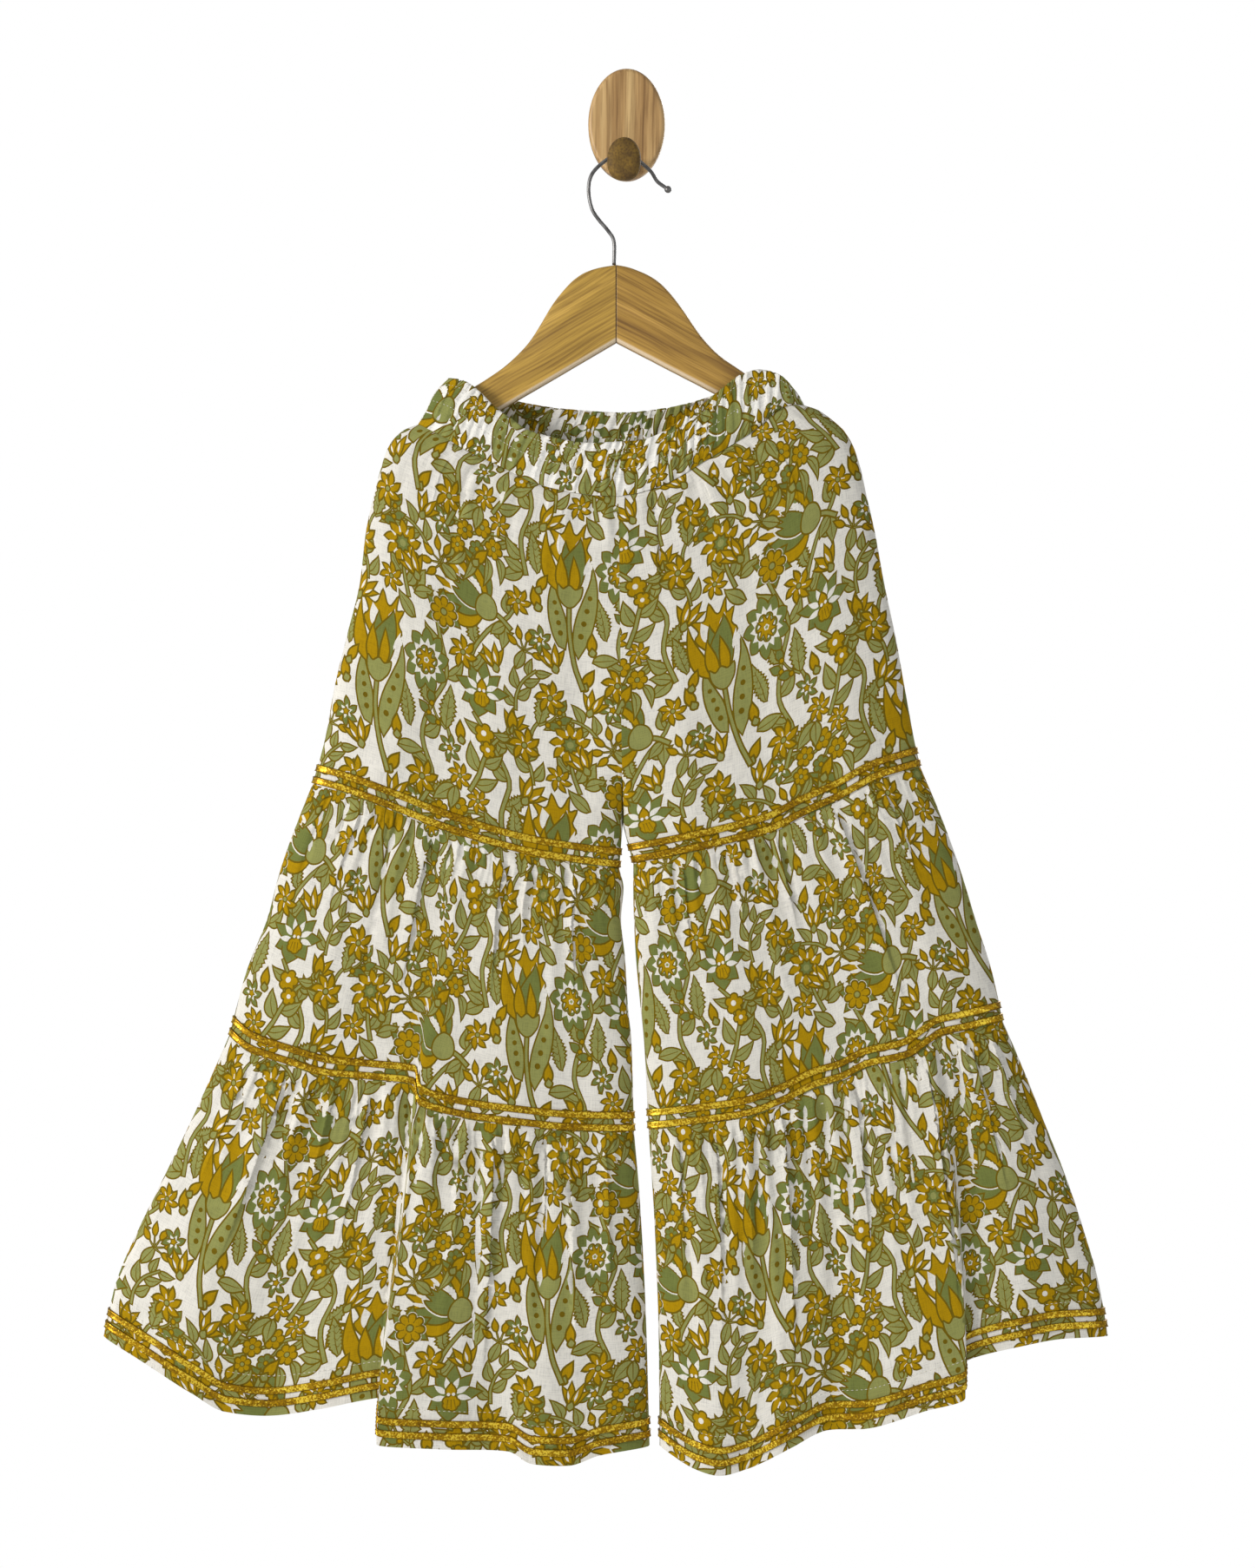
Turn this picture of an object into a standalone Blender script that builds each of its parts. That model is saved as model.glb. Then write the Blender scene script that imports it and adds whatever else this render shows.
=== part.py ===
"""Child's three-tier sharara trousers on a wooden hanger, hung from an oval wall peg.

Metres, +Z up. The origin is on the plaque's back face, 6.2 mm under its middle. That face lies on the
wall y = 0, and everything else hangs in front of the wall at y < 0. Left and right are as seen from the front.
Tables are in millimetres and are turned into metres where they are read.
"""
import math

import bmesh
import bpy
import numpy as np

MM = 0.001

# Driving dimensions of the cloth
HANG_Y = -30.0 * MM
CLOTH_WALL = 1.2 * MM
BAND_WALL = 2.4 * MM
SEAM_GAP = 0.4 * MM
SIDE_GAP = 0.3 * MM
WAIST_DEPTH = 11.8 * MM
BAND_DEPTH = 13.2 * MM
SEAM_1_DEPTH = 12.5 * MM
SEAM_2_DEPTH = 14.0 * MM
HEM_DEPTH = 16.0 * MM
COLUMNS = 32
SIDE_CROWDING = 0.08
SIDE_ROUND = 0.32
SIDE_POWER = 3.0
GATHER_WAVES = 16
CROTCH_V = 0.885

# Braid, two rows at each seam and at the hem
BRAID_WIDTH = 4.8 * MM
BRAID_THICK = 0.8 * MM
BRAID_GAP = 0.6 * MM
BRAID_ROW_LOW = 3.0 * MM
BRAID_PITCH = 7.9 * MM
HEM_ALLOWANCE = 8.0 * MM

# Hanger, hook, plaque and peg
HANGER_X = -6.6 * MM
HANGER_THICK = 14.0 * MM
HANGER_TIP_THICK = 6.0 * MM
HANGER_BEVEL = 3.0 * MM
JOINT_GAP = 0.3 * MM
WIRE_RADIUS = 1.2 * MM
WIRE_BALL_RADIUS = 2.3 * MM
PLAQUE_WIDTH = 49.4 * MM
PLAQUE_HEIGHT = 71.6 * MM
PLAQUE_Z = 6.2 * MM
PLAQUE_THICK = 10.0 * MM
PLAQUE_BEVEL = 1.5 * MM
PEG_X = -1.6 * MM

# Seam and edge lines, rows from the outer side to the leg's inner side.
# Columns: x, z, pin. A pin is the fold edge, 0 or 1, that the row belongs to.
FREE = None
WAIST_FRONT = {
    "left": ((-133, -189, FREE), (-117.5, -197, FREE), (-96, -209.5, FREE), (-82, -215.5, FREE),
             (-56, -228, FREE), (-19, -235, FREE), (-5.2, -235.5, FREE)),
    "right": ((113, -177, FREE), (104, -177.5, FREE), (96, -180.5, FREE), (82, -193, FREE),
              (64, -204.5, FREE), (49, -213.5, FREE), (26, -227, FREE), (7, -233.5, FREE),
              (-5.2, -235.5, FREE)),
}
WAIST_BACK = {
    "left": ((-133, -189, FREE), (-110, -196.5, FREE), (-82, -204.5, FREE), (-50, -211, FREE),
             (-5.2, -215, FREE)),
    "right": ((113, -177, FREE), (104, -179.5, FREE), (82, -191, FREE), (50, -206, FREE),
              (20, -213, FREE), (-5.2, -215, FREE)),
}
SEAM_1 = {
    "left": ((-200, -418, FREE), (-180, -423.5, FREE), (-151, -434, FREE), (-121, -446, FREE),
             (-92, -455.5, FREE), (-62, -463.5, FREE), (-33, -468.5, FREE), (-4.7, -472, FREE)),
    "right": ((187, -407, FREE), (158, -416, FREE), (136, -428, FREE), (114, -438, FREE),
              (92, -449, FREE), (62, -457, FREE), (32, -463.5, FREE), (4.3, -469, FREE)),
}
SEAM_2_FRONT = {
    "left": ((-253, -578, FREE), (-240, -588, FREE), (-216, -596, FREE), (-189, -603.5, FREE),
             (-162, -606, FREE), (-137, -609, 0), (-130, -621.5, 1), (-103, -630, FREE),
             (-71, -634.5, FREE), (-33, -638.5, FREE), (4.7, -639.5, FREE)),
    "right": ((239.5, -569, FREE), (217, -574, FREE), (200, -578, 0), (191, -583, 1),
              (178, -592, FREE), (153, -598, FREE), (137, -606, FREE), (120, -611, FREE),
              (99, -621, FREE), (75, -629.5, FREE), (49, -633.5, FREE), (14, -638, FREE)),
}
SEAM_2_BACK = {
    "left": ((-253, -578, FREE), (-216, -594, FREE), (-162, -610, FREE), (-103, -626, FREE),
             (-50, -635, FREE), (4.7, -639.5, FREE)),
    "right": ((239.5, -569, FREE), (200, -582, FREE), (150, -602, FREE), (99, -619, FREE),
              (49, -632, FREE), (14, -638, FREE)),
}
HEM_FRONT = {
    "left": ((-333, -769, FREE), (-301, -787.5, FREE), (-275, -803.5, FREE), (-254, -815.5, FREE),
             (-228, -818.5, FREE), (-195, -814, FREE), (-160.5, -806.5, 0), (-152.5, -835, 1),
             (-118.5, -838, FREE), (-75, -840.5, FREE), (-60, -848, FREE), (-37, -849.5, FREE),
             (-17, -843.5, FREE), (14.6, -839, FREE)),
    "right": ((306.5, -769, FREE), (278.5, -769.5, FREE), (246, -774.5, FREE), (215.5, -786, 0),
              (210, -806, 1), (187, -814.5, FREE), (148, -826.5, FREE), (128, -827.5, FREE),
              (104, -838, FREE), (75, -852, FREE), (59, -855.5, FREE), (45, -852.5, FREE),
              (21, -839, FREE)),
}
HEM_BACK = {
    "left": ((-333, -769, FREE), (-290, -786, FREE), (-240, -797, FREE), (-196, -801, FREE),
             (-150, -806, FREE), (-100, -822, FREE), (-45, -832, FREE), (14.6, -839, FREE)),
    "right": ((306.5, -769, FREE), (260, -768, FREE), (215, -775, FREE), (170, -800, FREE),
              (120, -818, FREE), (70, -836, FREE), (21, -839, FREE)),
}
# The two grid columns between which the big pressed fold of each leg steps forward
FOLD_COLUMNS = {"left": (15, 16), "right": (10, 11)}

# Side edges, rows from the top of each tier to its bottom. Columns: x, z
OUTER_EDGE = {
    ("upper", "left"): ((-133, -189), (-142.5, -193), (-151.5, -203), (-156.5, -217), (-160.5, -232),
                        (-166, -257), (-170, -290), (-178, -323), (-186, -356), (-192, -389), (-200, -418)),
    ("upper", "right"): ((113, -177), (121, -179.5), (130, -185.5), (138.5, -193), (145, -204.5),
                         (149, -217), (153.5, -237.5), (158, -257), (164, -290), (171, -323),
                         (177, -356), (183, -389), (187, -407)),
    ("middle", "left"): ((-200, -418), (-208, -438), (-220, -471), (-229, -504), (-242, -537),
                         (-253, -578)),
    ("middle", "right"): ((187, -407), (200, -438), (212, -471), (222, -504), (232.5, -537),
                          (239.5, -569)),
    ("lower", "left"): ((-253, -578), (-264, -603), (-279, -636), (-295, -669), (-311, -702),
                        (-325, -735), (-333, -769)),
    ("lower", "right"): ((239.5, -569), (254, -603), (267, -636), (280, -669), (291, -702),
                         (300.5, -735), (306.5, -769)),
}
INNER_EDGE = {
    ("upper", "left", "front"): ((-5.2, -235.5), (-2.5, -444), (-4.7, -472)),
    ("upper", "left", "back"): ((-5.2, -215), (-2.5, -444), (-4.7, -472)),
    ("upper", "right", "front"): ((-5.2, -235.5), (-2.5, -444), (4.3, -469)),
    ("upper", "right", "back"): ((-5.2, -215), (-2.5, -444), (4.3, -469)),
    ("middle", "left"): ((-4.7, -472), (-2, -484), (-3.5, -504), (-1, -529), (1, -562), (3, -581),
                         (4.7, -639.5)),
    ("middle", "right"): ((4.3, -469), (4.2, -484), (5.2, -517), (9, -562), (11, -581), (14, -638)),
    ("lower", "left"): ((4.7, -639.5), (8.5, -684), (12.4, -760), (14.6, -839)),
    ("lower", "right"): ((14, -638), (18, -703), (20.5, -775), (21, -839)),
}

# Waistband edges. Columns: x, z, left to right or top to bottom
BAND_TOP_FRONT = ((-113.5, -159.5), (-104, -161.5), (-97, -165.5), (-83, -179), (-74, -185.5),
                  (-62, -193.5), (-39, -199.5), (-25, -201.5), (0, -200.5), (13.5, -198.5),
                  (26, -192.5), (36, -185.5), (46, -178.5), (58, -169), (73, -158), (84, -155),
                  (96.5, -158), (109.5, -170.5))
BAND_TOP_BACK = ((-113.5, -159.5), (-103, -162), (-85, -168.5), (-62, -174.5), (-37, -178),
                 (-2.5, -180), (26, -177), (45, -172.5), (58, -168), (73, -161), (84, -157.5),
                 (96.5, -159.5), (109.5, -170.5))
BAND_SIDE_LEFT = ((-113.5, -159.5), (-123, -170.5), (-128, -181), (-133, -189))
BAND_SIDE_RIGHT = ((109.5, -170.5), (113, -177))

# Rows of each tier's grid, as shares of its height
TIER_ROWS = {
    "upper": (0.0, 0.045, 0.1, 0.18, 0.34, 0.54, 0.74, CROTCH_V, 1.0),
    "middle": (0.0, 0.22, 0.55, 1.0),
    "lower": (0.0, 0.18, 0.42, 0.7, 1.0),
}
BAND_ROWS = (0.0, 0.3, 0.7, 1.0)
BAND_RELIEF = (1.0, 0.4, 0.7, 1.0)
BAND_SPLITS = {"front": 2, "back": 1}
TIER_DEPTHS = {
    "upper": (WAIST_DEPTH, SEAM_1_DEPTH),
    "middle": (SEAM_1_DEPTH, SEAM_2_DEPTH),
    "lower": (SEAM_2_DEPTH, HEM_DEPTH),
}
# Height of the gathers under each seam, and the share of the tier where they have died out
GATHERS = {"upper": (0.0, 1.0), "middle": (1.3 * MM, 0.75), "lower": (1.7 * MM, 0.6)}
BAND_GATHER = 1.0 * MM
# Forward step of the pressed fold. Columns: at the tier's top, at its bottom, share where it dies out
FOLD_STEP = {
    ("middle", "left"): (0.0, 2.5 * MM, 0.30),
    ("lower", "left"): (2.5 * MM, 9.0 * MM, 0.34),
    ("middle", "right"): (0.0, 1.5 * MM, 0.30),
    ("lower", "right"): (1.5 * MM, 8.0 * MM, 0.30),
}
# Broad soft folds. Columns: u at top, u at bottom, v where it starts, v where it is full,
# half width in u, height in mm, forward positive
BROAD_FOLDS = {
    ("upper", "left", "front"): ((0.30, 0.22, 0.0, 0.9, 0.08, 2.2), (0.62, 0.55, 0.0, 0.8, 0.09, 1.8),
                                 (0.86, 0.85, 0.1, 0.7, 0.06, -1.6)),
    ("upper", "right", "front"): ((0.25, 0.20, 0.0, 0.9, 0.08, 2.0), (0.55, 0.50, 0.1, 0.8, 0.08, -1.6),
                                  (0.80, 0.78, 0.0, 0.8, 0.07, 1.6)),
    ("upper", "left", "back"): ((0.35, 0.30, 0.0, 0.9, 0.09, 2.2), (0.72, 0.66, 0.0, 0.8, 0.09, -1.8)),
    ("upper", "right", "back"): ((0.30, 0.28, 0.0, 0.9, 0.09, -2.0), (0.66, 0.62, 0.0, 0.8, 0.09, 2.0)),
    ("middle", "left", "front"): ((0.25, 0.20, 0.0, 0.9, 0.08, 2.4), (0.68, 0.70, 0.0, 0.9, 0.07, 2.0),
                                  (0.86, 0.87, 0.1, 0.9, 0.05, -1.8)),
    ("middle", "right", "front"): ((0.22, 0.18, 0.0, 0.9, 0.07, 2.4), (0.50, 0.48, 0.0, 0.8, 0.07, -2.0),
                                   (0.72, 0.74, 0.0, 0.9, 0.07, 2.0)),
    ("middle", "left", "back"): ((0.30, 0.28, 0.0, 0.9, 0.08, 2.4), (0.60, 0.62, 0.0, 0.9, 0.08, -2.0)),
    ("middle", "right", "back"): ((0.34, 0.30, 0.0, 0.9, 0.08, 2.2), (0.66, 0.64, 0.0, 0.9, 0.08, 2.0)),
    ("lower", "left", "front"): ((0.16, 0.14, 0.0, 0.9, 0.06, 3.5), (0.32, 0.30, 0.1, 1.0, 0.05, -3.5),
                                 (0.68, 0.70, 0.0, 0.9, 0.05, -3.0), (0.80, 0.80, 0.1, 1.0, 0.05, 3.5)),
    ("lower", "right", "front"): ((0.13, 0.14, 0.0, 0.9, 0.05, 3.5), (0.56, 0.56, 0.0, 0.9, 0.05, -3.5),
                                  (0.68, 0.70, 0.1, 1.0, 0.05, 3.0), (0.84, 0.86, 0.0, 0.9, 0.05, 4.0)),
    ("lower", "left", "back"): ((0.18, 0.16, 0.0, 0.9, 0.06, 4.0), (0.38, 0.36, 0.0, 0.9, 0.06, -3.5),
                                (0.58, 0.58, 0.1, 1.0, 0.06, 4.0), (0.80, 0.80, 0.0, 0.9, 0.06, -3.0)),
    ("lower", "right", "back"): ((0.16, 0.14, 0.0, 0.9, 0.06, -3.0), (0.36, 0.34, 0.0, 0.9, 0.06, 4.0),
                                 (0.56, 0.58, 0.1, 1.0, 0.06, -3.5), (0.78, 0.80, 0.0, 0.9, 0.06, 4.0)),
}

# Hanger arm stations. Columns: x, z of the top, z of the bottom
HANGER_LEFT = ((-6.75, -87.8, -136.8), (-17, -89.5, -142.9), (-26, -92.4, -148.2), (-33.5, -97.2, -152.6),
               (-39, -102.7, -155.9), (-47, -112.8, -160.6), (-55.5, -127, -165.6), (-61, -135.5, -168.8),
               (-66, -141.5, -171.7), (-77.5, -152.2, -178.5), (-88.5, -159.9, -184.9), (-99, -166.5, -190.7),
               (-114, -177.6, -198.3), (-129, -188.9, -205.8), (-141, -196.2, -211), (-148.3, -203.0, -210))
HANGER_RIGHT = ((-6.45, -87.8, -136.8), (0, -89, -140.2), (10.5, -92.8, -145.7), (16, -95.6, -148.5),
                (21.5, -99.5, -151.4), (27, -105, -154.3), (32.5, -111.7, -157.1), (38, -119.4, -160),
                (43.5, -127.7, -162.8), (49, -135, -165.7), (54.5, -141.1, -168.6), (60, -146.1, -171.4),
                (73, -155, -178.2), (92, -168.2, -188.1), (111, -179.3, -198.2), (126, -187.0, -206),
                (135, -194.6, -209), (140.0, -201.8, -208))
# Hook wire, from the hanger up, over the peg and down to its ball. Columns: x, z
WIRE_LINE = ((-8.0, -87.3), (-8.0, -72.5), (-11.8, -65.5), (-17.3, -59), (-21.7, -52.3),
             (-23.9, -43.5), (-23.9, -35.2), (-21.8, -29.0), (-17.0, -23.6), (-10.5, -18.9), (-4.5, -16.2),
             (-1.4, -15.7), (3.0, -16.6), (9.0, -21.8), (15.5, -27.8), (19.5, -34.0), (24.5, -37.8))
WIRE_STEPS = 44
# Peg along y, its knob taller than wide and squarer below. Columns: y, half width, half height, middle z
PEG_PROFILE = ((-10.3, 5.6, 5.4, -22.4), (-22.0, 5.2, 5.2, -22.4), (-32.0, 5.2, 5.2, -22.4),
               (-35.0, 8.2, 9.8, -21.8), (-37.5, 10.3, 13.1, -21.4), (-42.5, 10.7, 13.7, -21.4),
               (-45.5, 8.8, 11.4, -21.4), (-46.5, 5.0, 7.0, -21.4))
PEG_LOWER_POWER = 2.6
PEG_SIDES = 24
PLAQUE_SIDES = 36

COTTON = (0.73, 0.69, 0.55, 1.0)
GOLD_BRAID = (0.72, 0.52, 0.10, 1.0)
MANGO_WOOD = (0.45, 0.25, 0.09, 1.0)
STEEL = (0.62, 0.61, 0.60, 1.0)


def clear_scene():
    for item in list(bpy.data.objects):
        bpy.data.objects.remove(item, do_unlink=True)


def make_material(name, colour, roughness, metallic):
    material = bpy.data.materials.new(name)
    material.use_nodes = True
    shader = material.node_tree.nodes["Principled BSDF"]
    shader.inputs["Base Color"].default_value = colour
    shader.inputs["Roughness"].default_value = roughness
    shader.inputs["Metallic"].default_value = metallic
    return material


def add_object(name, points, faces, colour, roughness, metallic=0.0, smooth=False):
    mesh = bpy.data.meshes.new(name)
    mesh.from_pydata([tuple(p) for p in points], [], faces)
    built = bmesh.new()
    built.from_mesh(mesh)
    bmesh.ops.recalc_face_normals(built, faces=built.faces)
    built.to_mesh(mesh)
    built.free()
    if smooth:
        mesh.shade_smooth()
        mesh.set_sharp_from_angle(angle=math.radians(35))
    thing = bpy.data.objects.new(name, mesh)
    mesh.materials.append(make_material(name + "_material", colour, roughness, metallic))
    bpy.context.scene.collection.objects.link(thing)
    return thing


def smooth_step(value):
    value = np.clip(value, 0.0, 1.0)
    return value * value * (3.0 - 2.0 * value)


def monotone_curve(where, known, values):
    """Cubic through the known values that never swings past them."""
    known = np.asarray(known, float)
    values = np.asarray(values, float)
    step = np.diff(known)
    slope = np.diff(values) / step
    tangent = np.empty(len(known))
    tangent[0] = slope[0]
    tangent[-1] = slope[-1]
    for i in range(1, len(known) - 1):
        same_way = slope[i - 1] * slope[i] > 0
        tangent[i] = 2.0 / (1.0 / slope[i - 1] + 1.0 / slope[i]) if same_way else 0.0
    where = np.clip(where, known[0], known[-1])
    i = np.clip(np.searchsorted(known, where, side="right") - 1, 0, len(step) - 1)
    t = (where - known[i]) / step[i]
    t2 = t * t
    t3 = t2 * t
    start = (2 * t3 - 3 * t2 + 1) * values[i] + (t3 - 2 * t2 + t) * step[i] * tangent[i]
    end = (3 * t2 - 2 * t3) * values[i + 1] + (t3 - t2) * step[i] * tangent[i + 1]
    return start + end


def column_places(count):
    """Shares across a panel, crowded towards its two sides."""
    t = np.arange(count + 1) / count
    return t - SIDE_CROWDING * np.sin(2.0 * math.pi * t)


def length_shares(points):
    runs = np.hypot(*np.diff(np.asarray(points, float), axis=0).T)
    along = np.concatenate([[0.0], np.cumsum(runs)])
    return along / along[-1]


def level_line(rows, leg, u):
    """Points in metres at shares u along a seam line, with its pinned rows on the fold's columns."""
    points = np.array([row[:2] for row in rows], float) * MM
    shares = length_shares(points)
    fold = [column_places(COLUMNS)[k] for k in FOLD_COLUMNS[leg]]
    pins = [(shares[i], fold[row[2]]) for i, row in enumerate(rows) if row[2] is not FREE]
    pins = [(0.0, 0.0)] + pins + [(1.0, 1.0)]
    places = np.interp(shares, [pin[0] for pin in pins], [pin[1] for pin in pins])
    x = monotone_curve(u, places, points[:, 0])
    z = monotone_curve(u, places, points[:, 1])
    return np.stack([x, z], axis=-1)


def edge_line(points, v, corner_v=None):
    """Points in metres at shares v down a side edge; corner_v pins the middle row of three."""
    points = np.array(points, float) * MM
    places = length_shares(points) if corner_v is None else np.array([0.0, corner_v, 1.0])
    x = np.interp(v, places, points[:, 0]) if corner_v else monotone_curve(v, places, points[:, 0])
    z = np.interp(v, places, points[:, 1]) if corner_v else monotone_curve(v, places, points[:, 1])
    return np.stack([x, z], axis=-1)


def blend_patch(top, bottom, first, last, u, v):
    """Coons patch: the surface between four edge lines, as an array of rows of points."""
    u = u[None, :, None]
    v = v[:, None, None]
    across = (1 - v) * top[None] + v * bottom[None]
    down = (1 - u) * first[:, None] + u * last[:, None]
    corners = (1 - v) * ((1 - u) * top[0] + u * top[-1]) + v * ((1 - u) * bottom[0] + u * bottom[-1])
    return across + down - corners


def tier_edges(tier, leg, face, u, v):
    seam_2 = SEAM_2_FRONT if face == "front" else SEAM_2_BACK
    lines = {
        "upper": (WAIST_FRONT if face == "front" else WAIST_BACK, SEAM_1),
        "middle": (SEAM_1, seam_2),
        "lower": (seam_2, HEM_FRONT if face == "front" else HEM_BACK),
    }
    top, bottom = (level_line(line[leg], leg, u) for line in lines[tier])
    first = edge_line(OUTER_EDGE[tier, leg], v)
    if tier == "upper":
        last = edge_line(INNER_EDGE[tier, leg, face], v, CROTCH_V)
    else:
        last = edge_line(INNER_EDGE[tier, leg], v)
    return top, bottom, first, last


def side_round(u):
    share = np.clip(u / SIDE_ROUND, 0.0, 1.0)
    return (1.0 - (1.0 - share) ** SIDE_POWER) ** (1.0 / SIDE_POWER)


def hollow_depth(tier, u, v):
    """How far the cloth stands from the middle plane of the garment."""
    top, bottom = TIER_DEPTHS[tier]
    outer = side_round(u)
    inner = side_round(1.0 - u)
    if tier == "upper":
        parted = smooth_step((v - 0.70) / (CROTCH_V - 0.70))
    else:
        parted = np.ones_like(v)
    return (top + (bottom - top) * v) * outer * (1.0 - parted * (1.0 - inner))


def side_fade(u, tier):
    fade = smooth_step(u / 0.10)
    if tier == "upper":
        return fade
    return fade * smooth_step((1.0 - u) / 0.10)


def gather_height(tier, u, v):
    height, dies_at = GATHERS[tier]
    waves = np.cos(2.0 * math.pi * GATHER_WAVES * unwarped(u))
    uneven = 0.8 + 0.2 * np.sin(13.0 * u + 2.0 * v)
    return height * waves * uneven * (1.0 - smooth_step(v / dies_at))


def unwarped(u):
    """Inverse of column_places, so that waves fall on the grid's columns."""
    grid = column_places(256)
    return np.interp(u, grid, np.arange(257) / 256.0)


def fold_height(tier, leg, face, u, v):
    total = np.zeros(np.broadcast(u, v).shape)
    for u_top, u_bottom, v_start, v_full, half_width, height in BROAD_FOLDS[tier, leg, face]:
        middle = u_top + (u_bottom - u_top) * v
        grown = smooth_step((v - v_start) / (v_full - v_start))
        total = total + height * MM * grown * np.exp(-(((u - middle) / half_width) ** 2))
    if face == "front" and (tier, leg) in FOLD_STEP:
        top, bottom, spread = FOLD_STEP[tier, leg]
        start, end = (column_places(COLUMNS)[k] for k in FOLD_COLUMNS[leg])
        risen = smooth_step((u - start) / (end - start))
        fallen = 1.0 - smooth_step((u - end) / spread)
        total = total + (top + (bottom - top) * v) * risen * fallen
    return total


def panel_points(tier, leg, face, u, v):
    """Outer points of one panel, rows from its top to its bottom."""
    edges = tier_edges(tier, leg, face, u, v)
    flat = blend_patch(*edges, u, v)
    uu = u[None, :]
    vv = v[:, None]
    depth = hollow_depth(tier, uu, vv)
    relief = gather_height(tier, uu, vv) + fold_height(tier, leg, face, uu, vv)
    outward = depth + relief * side_fade(uu, tier) + SIDE_GAP / 2
    y = HANG_Y - outward if face == "front" else HANG_Y + outward
    points = np.stack([flat[..., 0], y, flat[..., 1]], axis=-1)
    away = -1.0 if leg == "left" else 1.0
    if tier == "upper":
        points[vv[:, 0] <= CROTCH_V + 1e-9, -1, 0] += away * SIDE_GAP / 2
    points[0, :, 2] -= SEAM_GAP / 2
    if tier != "lower":
        points[-1, :, 2] += SEAM_GAP / 2
    return points


def wall_directions(points, face, leg, joined_rows=0):
    """Unit vectors that point out of the cloth; rims lie square to the seams they face."""
    facing = -1.0 if face == "front" else 1.0
    across = np.gradient(points, axis=1)
    down = np.gradient(points, axis=0)
    normal = np.cross(across, down)
    normal *= np.sign(normal[..., 1:2]) * facing
    normal /= np.linalg.norm(normal, axis=-1, keepdims=True)
    straight = np.array([0.0, facing, 0.0])
    normal[0, :] = straight
    normal[-1, :] = straight
    away = -1.0 if leg == "left" else 1.0
    normal[:, 0] = (away, 0.0, 0.0)
    normal[joined_rows:, -1] = (-away, 0.0, 0.0)
    normal[:joined_rows, -1] = straight
    return normal


def wall_solid(outer, inner):
    """Points and faces of a closed wall between two equal grids of points."""
    rows, columns = outer.shape[:2]
    points = np.concatenate([outer.reshape(-1, 3), inner.reshape(-1, 3)])
    back = rows * columns
    faces = []
    for r in range(rows - 1):
        for c in range(columns - 1):
            a = r * columns + c
            b = a + 1
            d = a + columns
            e = d + 1
            first, second = ((a, b, e), (a, e, d)) if (r + c) % 2 else ((a, b, d), (b, e, d))
            for face in (first, second):
                faces.append(face)
                faces.append(tuple(back + i for i in reversed(face)))
    rim = list(range(columns))
    rim += [r * columns + columns - 1 for r in range(1, rows)]
    rim += [(rows - 1) * columns + c for c in range(columns - 2, -1, -1)]
    rim += [r * columns for r in range(rows - 2, 0, -1)]
    for a, b in zip(rim, rim[1:] + rim[:1]):
        faces.append((b, a, back + a))
        faces.append((b, back + a, back + b))
    return points, faces


def panel_grid(tier, leg, face):
    count = COLUMNS // 2 if tier == "upper" else COLUMNS
    return panel_points(tier, leg, face, column_places(count), np.array(TIER_ROWS[tier]))


def make_panel(tier, leg, face):
    outer = panel_grid(tier, leg, face)
    joined_rows = TIER_ROWS[tier].index(CROTCH_V) if tier == "upper" else 0
    normal = wall_directions(outer, face, leg, joined_rows)
    points, faces = wall_solid(outer, outer - normal * CLOTH_WALL)
    add_object(f"{tier}_{leg}_{face}", points, faces, COTTON, 0.85)


def waist_line(face):
    """The waist seam's points on the upper panels' own columns, each stretch split for the band."""
    waist = WAIST_FRONT if face == "front" else WAIST_BACK
    u = column_places(COLUMNS // 2)
    left = level_line(waist["left"], "left", u)
    right = level_line(waist["right"], "right", u)
    line = np.concatenate([left, right[-2::-1]])
    steps = np.arange((len(line) - 1) * BAND_SPLITS[face] + 1) / BAND_SPLITS[face]
    known = np.arange(len(line))
    return np.stack([np.interp(steps, known, line[:, axis]) for axis in (0, 1)], axis=-1)


def band_grid(face):
    """Outer points of half the waistband, left to right."""
    bottom = waist_line(face)
    u = length_shares(bottom)
    v = np.array(BAND_ROWS)
    top = edge_line(BAND_TOP_FRONT if face == "front" else BAND_TOP_BACK, u)
    flat = blend_patch(top, bottom, edge_line(BAND_SIDE_LEFT, v), edge_line(BAND_SIDE_RIGHT, v), u, v)
    uu = u[None, :]
    depth = BAND_DEPTH * side_round(uu * 2) * side_round((1 - uu) * 2)
    ridges = 1.0 - 2.0 * (np.arange(len(u)) % 2)
    fade = smooth_step(uu / 0.05) * smooth_step((1 - uu) / 0.05)
    relief = BAND_GATHER * ridges * fade * np.array(BAND_RELIEF)[:, None]
    outward = depth + relief + SIDE_GAP / 2
    y = HANG_Y - outward if face == "front" else HANG_Y + outward
    points = np.stack([flat[..., 0], y, flat[..., 1]], axis=-1)
    points[-1, :, 2] += SEAM_GAP / 2
    return points


def make_band(face):
    outer = band_grid(face)
    normal = wall_directions(outer, face, "left")
    points, faces = wall_solid(outer, outer - normal * BAND_WALL)
    add_object(f"waistband_{face}", points, faces, COTTON, 0.85)


def climb(column, distance):
    """The point that lies a distance up a grid column from its bottom end."""
    upward = column[::-1]
    runs = np.hypot(np.diff(upward[:, 0]), np.diff(upward[:, 2]))
    along = np.concatenate([[0.0], np.cumsum(runs)])
    return np.array([np.interp(distance, along, upward[:, axis]) for axis in range(3)])


def ring_line(front, back, height):
    """Points once round a leg on the panels' outer faces, a height above their bottom edges."""
    columns = [front[:, c] for c in range(front.shape[1])]
    columns += [back[:, c] for c in range(back.shape[1] - 2, 0, -1)]
    line = np.array([climb(column, height) for column in columns])
    line[0, 1] = HANG_Y
    line[front.shape[1] - 1, 1] = HANG_Y
    return line


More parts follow.
